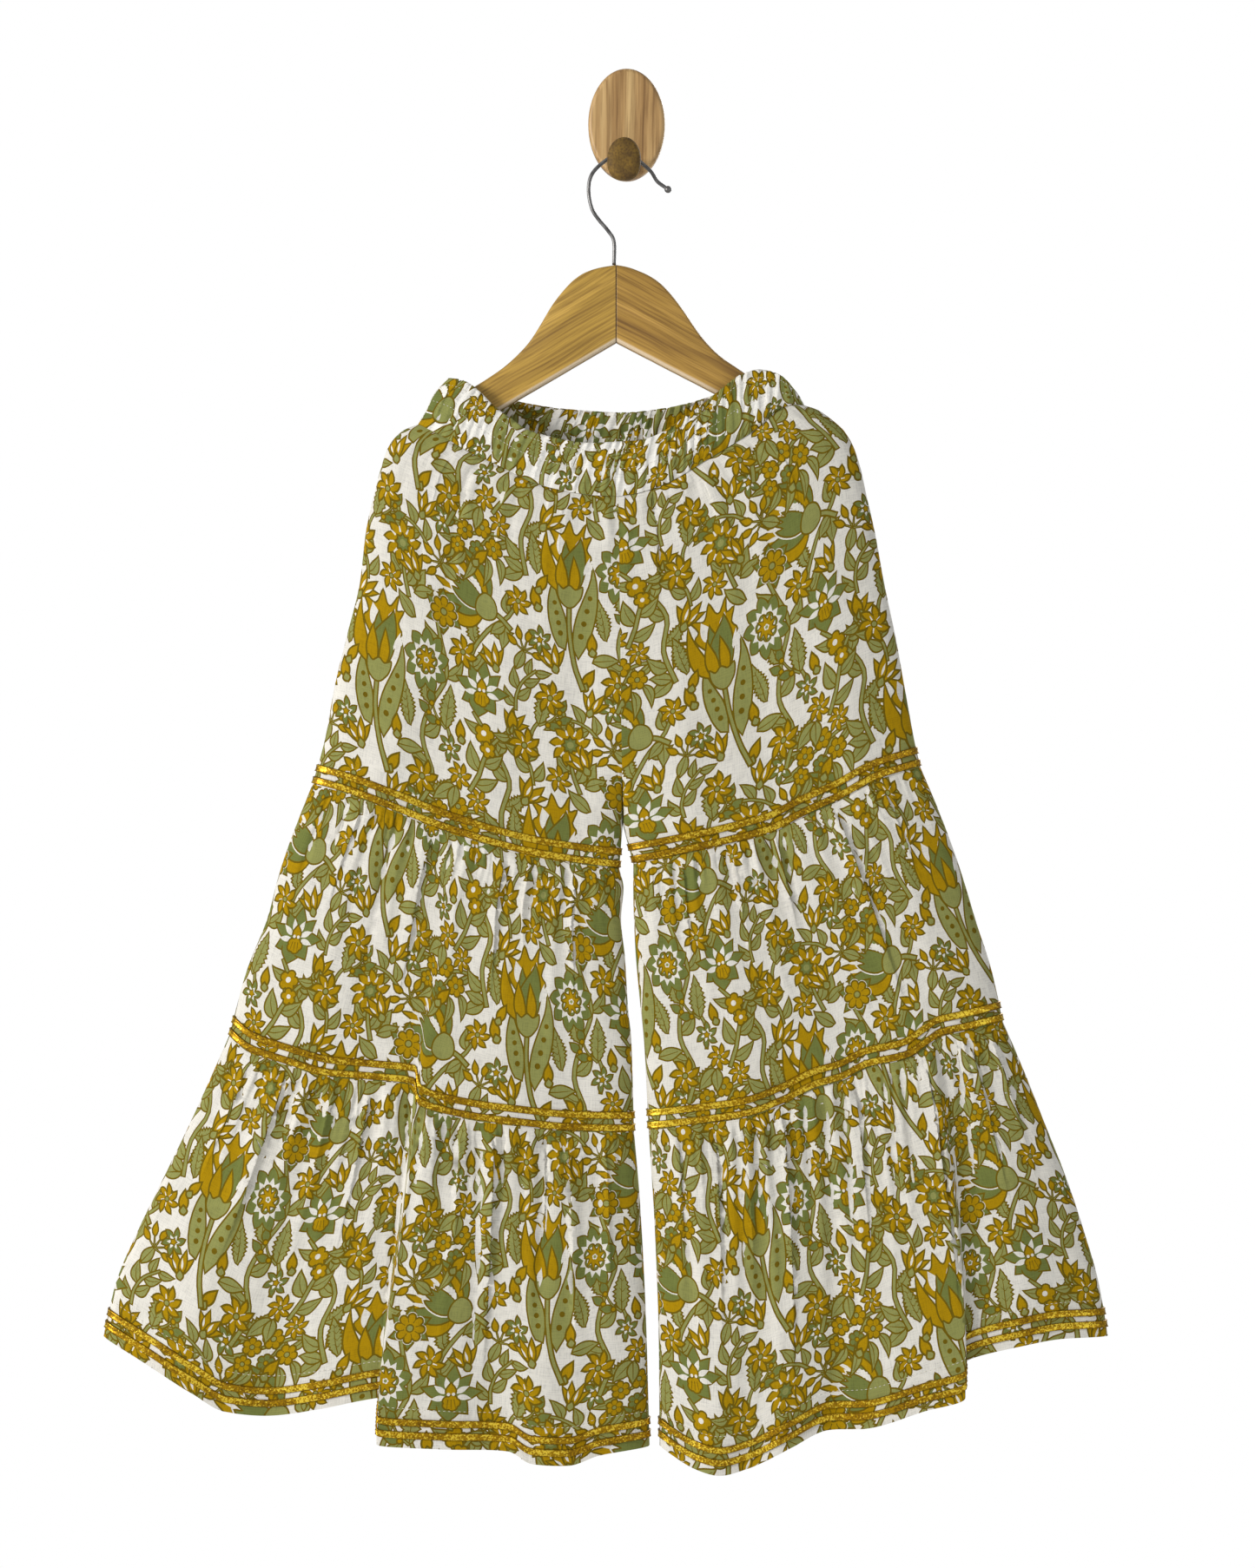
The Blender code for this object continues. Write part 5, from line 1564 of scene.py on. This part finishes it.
# The last colour of each wood is its painted highlight; only the hanger's arms carry it, along their lower
# front bevel
LEFT_WOOD = hanger_wood("hanger_wood_left", "A07C30", "B6903A", "C8A048", "EAD6B8")
RIGHT_WOOD = hanger_wood("hanger_wood_right", "926C2C", "AE8638", "C09648", "E6D0B0")
PLAQUE_WOOD = hanger_wood("plaque_wood", "A07A48", "BA945E", "D0AE76", "D8BC90")
PEG_WOOD = hanger_wood("peg_wood", "583F0C", "6A4F14", "7C5E1A", "9A7E3A", 0.75, 0.0)
STEEL = hook_steel()

# The loose points of the cut pieces, in mm: rows down a panel, closer over the fine share of it
FINE_SHARE = {"upper": 0.10, "middle": 0.3, "lower": 0.3}
FINE_ROW = 3.0
COARSE_ROW = 5.0
# Steps along a panel's row. Columns: share of the length down to which it holds, step
ROW_STEPS = ((0.12, 2.0), (0.35, 2.9), (math.inf, 4.4))
# Waistband rows: where its turn starts and ends, and steps on its inner side, its turn and outer side
BAND_TURN_ROWS = (-6, 7)
BAND_ROWS = (4.5, 1.0, 2.8)
BAND_FINE_FROM = -8
BAND_STEPS = (3.2, 1.6)
PANEL_EDGE_STEP = 2.0
BAND_EDGE_STEP = 1.5
# Where the print starts on each piece, across and down
PRINT_SHIFTS = {"upper": (12.0, 30.0), "middle": (60.0, 100.0), "lower": (22.0, 58.0)}
RIGHT_SHIFT = (37.0, 23.0)
BACK_SHIFT = (71.0, 49.0)
BAND_SHIFT = (44.0, 15.0)
BAND_BACK_SHIFT = 50.0


def tier_rows(tier, length):
    """Heights of the loose points, closer under a gathered seam."""
    fine = FINE_SHARE[tier] * length
    return list(np.arange(1.0, fine, FINE_ROW)) + list(np.arange(fine, length, COARSE_ROW))


def tier_spacing(length):
    """Steps between the loose points of a row at a height."""
    return lambda t: next(step for share, step in ROW_STEPS if t < share * length)


def band_rows(height):
    """Heights of the waistband's loose points."""
    start, end = BAND_TURN_ROWS
    inner, turn, outer = BAND_ROWS
    rows = list(np.arange(-height - Band.TURN + 2, start, inner)) + list(np.arange(start, end, turn))
    return rows + list(np.arange(end, height, outer))


def band_spacing(t):
    return BAND_STEPS[0] if t < BAND_FINE_FROM else BAND_STEPS[1]


panels = {}
for tier in ("upper", "middle", "lower"):
    for leg in ("left", "right"):
        for face in ("front", "back"):
            panel = Panel(tier, leg, face)
            panels[tier, leg, face] = panel
            top, bottom, length = FLAT_CUT[tier, leg]
            shift, drop = (start + (leg == "right") * right + (face == "back") * back
                           for start, right, back in zip(PRINT_SHIFTS[tier], RIGHT_SHIFT, BACK_SHIFT))
            art = print_on(max(top, bottom), length, shift, drop)
            kept = within(panel.crease_points(), panel.outline(), EDGE_MARGIN)
            sew(panel, art, PANEL_EDGE_STEP, tier_spacing(length),
                                    tier_rows(tier, length), DYES, kept)

for face in ("front", "back"):
    band = Band(face)
    width, height = BAND_CUT
    across, down = BAND_SHIFT
    art = print_on(width, height * 3, across + BAND_BACK_SHIFT * (face == "back"), down)
    art = [(ink, shape - (0.0, height + band.TURN)) for ink, shape in art]
    sew(band, art, BAND_EDGE_STEP, band_spacing, band_rows(height), BAND_DYES)

# Braids: flat ribbons with beaded edges round each leg.
# Columns across a ribbon: share of half its width, height in mm, height of its beads in mm, darkness
BRAID_PROFILE = (
    (-1.0, 0.12, 0.0, 0.9), (-0.82, 0.86, 0.34, 0.35), (-0.5, 0.72, 0.1, 0.0),
    (0.5, 0.72, 0.1, 0.0), (0.82, 0.86, 0.34, 0.35), (1.0, 0.12, 0.0, 0.9), (0.9, -0.12, 0.0, 1.0),
    (-0.9, -0.12, 0.0, 1.0),
)
BRAID_STEP = 1.15 * MM
BRAID_LIFT = 0.08
BRAID_SAMPLES = 1500
BRAID_V = 0.97
# v of a line just above a panel's bottom edge, and the share of its length below the line
NEAR_EDGE_V = 0.93
NEAR_EDGE_SHARE = 0.07
LEVEL_STEP = 0.004
STITCH_LIFT = 0.28
STITCH_WIDTH = 0.5 * MM
STITCH_MARGIN = 2.0
HEM_STITCH = 23.5
BAND_STITCHES = (4.2, 17.0, -21.0)


def height_above(panel, u, height):
    """v of a place that lies a height above the panel's bottom edge."""
    low = panel.place(u, np.ones_like(u), fine=False)
    high = panel.place(u, np.full_like(u, NEAR_EDGE_V), fine=False)
    return 1.0 - NEAR_EDGE_SHARE * height / np.linalg.norm(high - low, axis=1)


def ring_places(front, back):
    """Places u on the front and the back panel, at even steps once round a leg's tube."""
    rows = []
    for panel in (front, back):
        u = np.linspace(0.0, 1.0, BRAID_SAMPLES)
        along = run_lengths(panel.place(u, np.full_like(u, BRAID_V), fine=False))
        count = int(along[-1] / BRAID_STEP / 2) * 2
        places = np.interp(np.linspace(0.0, along[-1], count + 1), along, u)
        rows.append(places[:-1] if panel is front else places[:0:-1])
    return rows


def make_braid(tier, leg, row, height):
    """One row of braid round a leg, its middle at a height above the tier's bottom edge."""
    front, back = (panels[tier, leg, face] for face in ("front", "back"))
    lines = [[] for _ in BRAID_PROFILE]
    for panel, u in zip((front, back), ring_places(front, back)):
        middle = height_above(panel, u, height)
        out = panel_outward(panel, u, middle)
        for j, (share, lift, bead, _) in enumerate(BRAID_PROFILE):
            v = height_above(panel, u, height - share * BRAID_WIDTH / 2)
            raised = lift + BRAID_LIFT + bead * ((np.arange(len(u)) + j) % 2)
            lines[j].append(panel.place(u, v) + out * raised[:, None] * MM)
    rings = np.stack([np.concatenate(line) for line in lines], axis=1)
    count, sides = rings.shape[:2]
    faces = []
    for k in range(count):
        n = (k + 1) % count
        for j in range(sides):
            m = (j + 1) % sides
            corners = (k * sides + j, k * sides + m, n * sides + m, n * sides + j)
            faces.append(corners if leg == "right" else corners[::-1])
    seam = {"upper": "seam1", "middle": "seam2", "lower": "hem"}[tier]
    name = f"braid_{seam}_{leg}_{row}"
    mesh = build_mesh(name, rings.reshape(-1, 3), faces)
    carry(mesh, "edge", np.tile([row[3] for row in BRAID_PROFILE], count))
    return add_piece(name + "_trim", mesh, BRAID, [name])


def panel_outward(panel, u, v):
    """Level directions out of a panel's cloth at places u, v."""
    u1 = np.clip(u + LEVEL_STEP, 0, 1)
    u0 = np.clip(u - LEVEL_STEP, 0, 1)
    across = panel.place(u1, v, fine=False) - panel.place(u0, v, fine=False)
    turn = panel.facing if panel.leg == "right" else -panel.facing
    out = turn * np.stack([across[:, 1], -across[:, 0], np.zeros(len(u))], axis=-1)
    return out / np.linalg.norm(out, axis=1, keepdims=True)


def stitch_row(name, runs):
    """Row of short threads. Each run is a piece and the places s, t of its stitches' ends."""
    points = []
    faces = []
    for piece, s, t in runs:
        places = piece.points(s, t)
        out = outward(piece, s, t) * STITCH_LIFT * MM
        for k in range(0, len(s) - 1, 2):
            a = places[k]
            b = places[k + 1]
            side = np.cross(b - a, out[k])
            side *= STITCH_WIDTH / 2 / max(np.linalg.norm(side), 1e-9)
            middle = (a + b) / 2
            first = len(points)
            points += [a, b, middle + side, middle + out[k], middle - side]
            faces += [(first, first + 3, first + 2), (first + 3, first + 1, first + 2),
                      (first, first + 4, first + 3), (first + 4, first + 1, first + 3),
                      (first, first + 2, first + 4), (first + 2, first + 1, first + 4)]
    mesh = build_mesh(name, np.array(points), faces)
    return add_piece(name, mesh, THREAD)


def even_ends(length, stitch=2.3, space=0.7):
    """Places of the ends of even stitches along a length, from its middle."""
    starts = np.arange(-length / 2 + 1.0, length / 2 - stitch, stitch + space)
    return np.stack([starts, starts + stitch], axis=-1).ravel()


stitches = {}
for leg in ("left", "right"):
    runs = []
    for face in ("front", "back"):
        length = FLAT_CUT["lower", leg][2]
        s = even_ends(FLAT_CUT["lower", leg][1] - STITCH_MARGIN)
        runs.append((panels["lower", leg, face], s, np.full_like(s, length - HEM_STITCH)))
    stitches[leg] = stitch_row(f"hem_stitches_{leg}", runs)
for face in ("front", "back"):
    s = even_ends(BAND_CUT[0] - STITCH_MARGIN)
    runs = [(Band(face), s, np.full_like(s, t)) for t in BAND_STITCHES]
    stitches[face] = stitch_row(f"waistband_stitches_{face}", runs)

braids = {}
for tier, base in (("upper", 0.0), ("middle", 0.0), ("lower", HEM_ALLOWANCE - BRAID_ROW_LOW)):
    for leg in ("left", "right"):
        braids[tier, leg] = [make_braid(tier, leg, row, base + BRAID_ROW_LOW + BRAID_PITCH * k)
                             for k, row in enumerate(("low", "high"))]

# Hanger, hook, peg and plaque, the solids' own sizes with finer rings
HANGER_X = -6.6 * MM
HANGER_THICK = 14.0 * MM
HANGER_TIP_THICK = 6.0 * MM
HANGER_BEVEL = 3.0 * MM
ARM_RINGS = 62
ARM_TAPER = 1.5
# The bevel's greatest share of an arm's half thickness and of its height
BEVEL_SHARES = (0.6, 0.35)
JOINT_GAP = 0.02
JOINT_GROOVE = (0.0, 0.35, 0.8)
# How much painted shade darkens the joint's groove at its first ring, its second ring and all later rings
JOINT_SHADE = (1.0, 0.35, 0.0)
GROOVE_DEPTH = 0.4 * MM
TIP_ROUND = 3.0 * MM
TIP_FLAT = 0.02
# Strength of the painted highlight along the lower front bevel
BEVEL_HIGHLIGHT = 0.85
# Arm stations from the middle joint to the tip. Columns: x, z of the top edge, z of the bottom edge
HANGER_LEFT = (
    (-6.75, -87.8, -136.8), (-17, -89.5, -142.9), (-26, -92.4, -148.2), (-33.5, -97.2, -152.6),
    (-39, -102.7, -155.9), (-47, -112.8, -160.6), (-55.5, -127, -165.6), (-61, -135.5, -168.8),
    (-66, -141.5, -171.7), (-77.5, -152.2, -178.5), (-88.5, -159.9, -184.9), (-99, -166.5, -190.7),
    (-114, -177.6, -198.3), (-129, -188.9, -205.8), (-141, -196.2, -211), (-148.3, -203.0, -210),
)
HANGER_RIGHT = (
    (-6.45, -87.8, -136.8), (0, -89, -140.2), (10.5, -92.8, -145.7), (16, -95.6, -148.5),
    (21.5, -99.5, -151.4), (27, -105, -154.3), (32.5, -111.7, -157.1), (38, -119.4, -160),
    (43.5, -127.7, -162.8), (49, -135, -165.7), (54.5, -141.1, -168.6), (60, -146.1, -171.4),
    (73, -155, -178.2), (92, -168.2, -188.1), (111, -179.3, -198.2), (126, -187.0, -206),
    (135, -194.6, -209), (140.0, -201.8, -208),
)
WIRE_LINE = (
    (-8.0, -87.3), (-8.0, -72.5), (-11.8, -65.5), (-17.3, -59), (-21.7, -52.3), (-23.9, -43.5),
    (-23.9, -35.2), (-21.8, -29.0), (-17.0, -23.6), (-10.5, -18.9), (-4.5, -16.2), (-1.4, -15.7),
    (3.0, -16.6), (9.0, -21.8), (15.5, -27.8), (19.5, -34.0), (24.5, -37.8),
)
WIRE_RADIUS = 1.2 * MM
WIRE_SIDES = 20
WIRE_BALL_RADIUS = 2.3 * MM
WIRE_BALL_RINGS = 11
# Angles of the ball's rings in degrees: the first one and the step
WIRE_BALL_START = 28
WIRE_BALL_STEP = 13.5
PLAQUE_SIZE = (49.4 * MM, 71.6 * MM, 10.0 * MM)
PLAQUE_Z = 6.2 * MM
PLAQUE_ROUND = 3.0 * MM
PLAQUE_SIDES = 72
PLAQUE_FACE_RINGS = (0.66, 0.33, 0.08)
PEG_X = -1.6 * MM
# Peg along y, its knob taller than wide and squarer below. Columns: y, half width, half height, middle z
PEG_PROFILE = (
    (-10.3, 5.6, 5.4, -22.4), (-11.2, 6.0, 5.8, -22.4), (-12.4, 5.6, 5.4, -22.4),
    (-16, 5.3, 5.3, -22.4), (-22, 5.2, 5.2, -22.4), (-28, 5.1, 5.1, -22.4),
    (-31.8, 5.2, 5.2, -22.4), (-33.6, 6.6, 7.4, -22.1), (-35.2, 8.4, 10.2, -21.7),
    (-37.2, 10.1, 12.9, -21.4), (-39.8, 10.7, 13.7, -21.4), (-43, 10.4, 13.4, -21.4),
    (-45.2, 8.9, 11.7, -21.4), (-46.3, 6.0, 8.4, -21.4), (-46.6, 2.8, 4.2, -21.4),
)
PEG_LOWER_POWER = 2.6
PEG_SIDES = 48


def loft(name, rings):
    """Quad mesh through equal rings of points, closed at both ends."""
    count = len(rings[0])
    points = np.array(rings).reshape(-1, 3)
    faces = []
    for r in range(len(rings) - 1):
        for k in range(count):
            n = (k + 1) % count
            faces.append((r * count + k, r * count + n, (r + 1) * count + n, (r + 1) * count + k))
    faces.append(tuple(range(count - 1, -1, -1)))
    last = (len(rings) - 1) * count
    faces.append(tuple(range(last, last + count)))
    mesh = build_mesh(name, points, faces)
    remade = bmesh.new()
    remade.from_mesh(mesh)
    bmesh.ops.recalc_face_normals(remade, faces=remade.faces)
    remade.to_mesh(mesh)
    remade.free()
    return mesh


def carry_grain(mesh, grain, bevel=0.0, joint=0.0):
    """Grain coordinates, the painted highlight along the lower front bevel and the painted shade in the
    joint's groove, for the wood's material.
    """
    carry(mesh, "grain", grain)
    carry(mesh, "bevel", np.full(len(grain), bevel))
    carry(mesh, "joint", np.full(len(grain), joint))


def rounded_section(near, far, bottom, top, bevel, steps=4):
    """Closed outline in y, z with rounded corners, and each point's share of the lower bevel edges, where
    the painted highlight goes.
    """
    points = []
    low = []
    for cy, cz, start in ((far - bevel, top - bevel, 0), (near + bevel, top - bevel, 90),
                          (near + bevel, bottom + bevel, 180), (far - bevel, bottom + bevel, 270)):
        for k in range(steps + 1):
            a = math.radians(start + 90.0 * k / steps)
            points.append((cy + bevel * math.cos(a), cz + bevel * math.sin(a)))
            low.append(1.0 if start >= 180 and 0 < k < steps else 0.0)
    return points, low


def make_arm(name, stations, slant, seed, material):
    """One arm, its grain straight along its lower edge, its joint end cut to a shallow groove with painted
    shade in it, and a painted highlight along its lower front bevel.
    """
    rows = np.array(stations, float) * MM
    way = 1.0 if rows[-1, 0] > rows[0, 0] else -1.0
    rows[0, 0] = HANGER_X + way * JOINT_GAP * MM
    groove = rows[0, 0] + way * np.array(JOINT_GROOVE) * MM
    xs = np.concatenate([groove, np.linspace(groove[-1], rows[-1, 0], ARM_RINGS)[1:]])
    known = way * rows[:, 0]
    tops = monotone_curve(way * xs, known, rows[:, 1])
    bottoms = monotone_curve(way * xs, known, rows[:, 2])
    rings = []
    grain = []
    bevel_highlights = []
    joint = []
    lean = math.radians(slant)
    reach = abs(rows[-1, 0] - HANGER_X)
    tip = abs(xs[-1])
    for k, (x, top, bottom) in enumerate(zip(xs, tops, bottoms)):
        share = abs(x - HANGER_X) / reach
        half = (HANGER_THICK + (HANGER_TIP_THICK - HANGER_THICK) * share ** ARM_TAPER) / 2
        left = tip - abs(x)
        narrow = math.sqrt(max(1.0 - (1.0 - min(left / TIP_ROUND, 1.0)) ** 2, TIP_FLAT))
        bevel = min(HANGER_BEVEL, half * BEVEL_SHARES[0], (top - bottom) * BEVEL_SHARES[1])
        middle = (top + bottom) / 2
        tall = (top - bottom) / 2 * narrow
        half = half * narrow - (GROOVE_DEPTH if k == 0 else 0.0)
        section, low = rounded_section(HANG_Y - half, HANG_Y + half, middle - tall, middle + tall,
                                       bevel * narrow)
        rings.append([(x, y, z) for y, z in section])
        aside = way * (x - HANGER_X)
        grain += [(aside * math.cos(lean) - z * math.sin(lean) + seed,
                   aside * math.sin(lean) + z * math.cos(lean), y) for y, z in section]
        # Painted highlight on the lower bevel where it faces the front, and painted shade in the joint's
        # groove
        bevel_highlights += [value * (y < HANG_Y) for value, (y, z) in zip(low, section)]
        joint += [JOINT_SHADE[min(k, 2)]] * len(section)
    mesh = loft(name, rings)
    carry_grain(mesh, grain, np.array(bevel_highlights) * BEVEL_HIGHLIGHT, joint)
    add_piece(name + "_wood", mesh, material, [name])


def make_wire():
    """Round wire bent in the garment's plane, with a little ball at its free end."""
    line = curve_through(np.array(WIRE_LINE) * MM, 8)
    ahead = np.gradient(line, axis=0)
    ahead /= np.linalg.norm(ahead, axis=1, keepdims=True)
    stations = [(place, way, WIRE_RADIUS) for place, way in zip(line, ahead)]
    for k in range(WIRE_BALL_RINGS):
        angle = math.radians(WIRE_BALL_START + WIRE_BALL_STEP * k)
        middle = line[-1] + ahead[-1] * WIRE_BALL_RADIUS * (1 - math.cos(angle))
        stations.append((middle, ahead[-1], WIRE_BALL_RADIUS * math.sin(angle)))
    rings = []
    for place, way, radius in stations:
        ring = []
        for k in range(WIRE_SIDES):
            a = 2 * math.pi * k / WIRE_SIDES
            ring.append((place[0] - way[1] * radius * math.cos(a), HANG_Y + radius * math.sin(a),
                         place[1] + way[0] * radius * math.cos(a)))
        rings.append(ring)
    add_piece("hook_wire_steel", loft("hook_wire", rings), STEEL, ["hook_wire"])


def make_plaque():
    """Oval board on the wall with a rounded front edge."""
    wide, tall, thick = PLAQUE_SIZE
    shoulder = -thick + PLAQUE_ROUND
    profile = [(0.0, 0.0), (0.0, shoulder)]
    profile += [(PLAQUE_ROUND * (1 - math.cos(a)), shoulder - PLAQUE_ROUND * math.sin(a))
                for a in np.linspace(0.2, math.pi / 2, 6)]
    around = np.linspace(0, 2 * math.pi, PLAQUE_SIDES, endpoint=False)
    rings = []
    for inset, y in profile:
        rings.append([((wide / 2 - inset) * math.cos(a), y, PLAQUE_Z + (tall / 2 - inset) * math.sin(a))
                      for a in around])
    for share in PLAQUE_FACE_RINGS:
        rings.append([(x * share, -thick, PLAQUE_Z + (z - PLAQUE_Z) * share)
                      for x, _, z in rings[len(profile) - 1]])
    mesh = loft("wall_plaque", rings)
    carry_grain(mesh, [(v.co.z, v.co.x, v.co.y) for v in mesh.vertices])
    add_piece("wall_plaque_wood", mesh, PLAQUE_WOOD, ["wall_plaque"])


def make_peg():
    """Shaft and knob, whose lower half is squarer than its upper half."""
    rings = []
    for y, half_width, half_height, middle in curve_through(PEG_PROFILE, 3) * MM:
        ring = []
        for a in np.linspace(0, 2 * math.pi, PEG_SIDES, endpoint=False):
            power = 2.0 / (PEG_LOWER_POWER if math.sin(a) < 0 else 2.0)
            aside = math.copysign(abs(math.cos(a)) ** power, math.cos(a))
            up = math.copysign(abs(math.sin(a)) ** power, math.sin(a))
            ring.append((PEG_X + half_width * aside, y, middle + half_height * up))
        rings.append(ring)
    mesh = loft("wall_peg", rings)
    carry_grain(mesh, [(v.co.y, v.co.x, v.co.z + 0.5) for v in mesh.vertices])
    add_piece("wall_peg_wood", mesh, PEG_WOOD, ["wall_peg"])


make_arm("hanger_left", HANGER_LEFT, 30.5, 0.0, LEFT_WOOD)
make_arm("hanger_right", HANGER_RIGHT, 27.5, 3.0, RIGHT_WOOD)
make_wire()
make_plaque()
make_peg()

# Each cloth piece's cut sizes and trims, read here and not used further
for (tier, leg, face), panel in panels.items():
    top, bottom, length = FLAT_CUT[tier, leg]
    trims = braids[tier, leg] if face == "front" else []
    if tier == "lower" and face == "front":
        trims = trims + [stitches[leg]]
for face in ("front", "back"):
    width, height = BAND_CUT

# Studio
FLOOR_RADIUS = 1.6
FLOOR_PLACE = (0.0, -0.3, -1.3)
FLOOR_GREY = (0.85, 0.85, 0.84, 1.0)
# Columns: name, place, what it is aimed at, size, watts, colour
LIGHTS = (
    ("key", (-2.25, -1.4, 0.15), (0.0, 0.0, -0.5), (0.8, 0.8), 57.0, (1.0, 0.985, 0.965)),
    ("fill", (1.9, -2.0, -0.1), (0.0, 0.0, -0.45), (1.6, 1.6), 8.0, (0.96, 0.98, 1.0)),
    ("back", (1.2, 2.2, 0.6), (0.0, 0.0, -0.45), (1.2, 1.2), 34.0, (1.0, 1.0, 1.0)),
)
WALL_WHITE = (1.0, 1.0, 1.0, 1.0)
SKY_TINT = (0.97, 0.985, 1.0, 1.0)
SKY_STRENGTH = 0.45
CAMERA_PLACE = (0.55 * MM, -2.5, -418.0 * MM)
CAMERA_LENS = 89.0
CAMERA_REACH = 20.0


def make_floor():
    mesh = bpy.data.meshes.new("floor")
    maker = bmesh.new()
    bmesh.ops.create_circle(maker, cap_ends=True, radius=FLOOR_RADIUS, segments=96)
    maker.to_mesh(mesh)
    maker.free()
    material, _, shader = new_material("floor", 0.9)
    shader.inputs["Base Color"].default_value = FLOOR_GREY
    mesh.materials.append(material)
    floor = new_object("floor", mesh)
    floor.location = FLOOR_PLACE


def area_light(name, place, aim, size, watts, colour):
    lamp = bpy.data.lights.new(name, "AREA")
    lamp.shape = "RECTANGLE"
    lamp.size, lamp.size_y = size
    lamp.energy = watts
    lamp.color = colour
    made = new_object(name, lamp)
    made.location = place
    made.rotation_euler = (Vector(aim) - Vector(place)).to_track_quat("-Z", "Y").to_euler()


make_floor()
for light in LIGHTS:
    area_light(*light)

world = bpy.data.worlds.new("studio")
bpy.context.scene.world = world
world.use_nodes = True
tree = world.node_tree
tree.nodes.clear()
seen = node(tree, "ShaderNodeBackground", {"Color": WALL_WHITE, "Strength": 1.0}).outputs[0]
lit = node(tree, "ShaderNodeBackground", {"Color": SKY_TINT, "Strength": SKY_STRENGTH}).outputs[0]
camera_ray = node(tree, "ShaderNodeLightPath").outputs["Is Camera Ray"]
both = node(tree, "ShaderNodeMixShader", {0: camera_ray, 1: lit, 2: seen}).outputs[0]
node(tree, "ShaderNodeOutputWorld", {"Surface": both})
bpy.context.scene.view_settings.view_transform = "Standard"

# Camera, square on to the front as the photograph is
camera_data = bpy.data.cameras.new("camera")
camera = new_object("camera", camera_data)
bpy.context.scene.camera = camera
camera.location = CAMERA_PLACE
camera.rotation_euler = (math.pi / 2, 0.0, 0.0)
camera_data.lens = CAMERA_LENS
camera_data.clip_end = CAMERA_REACH
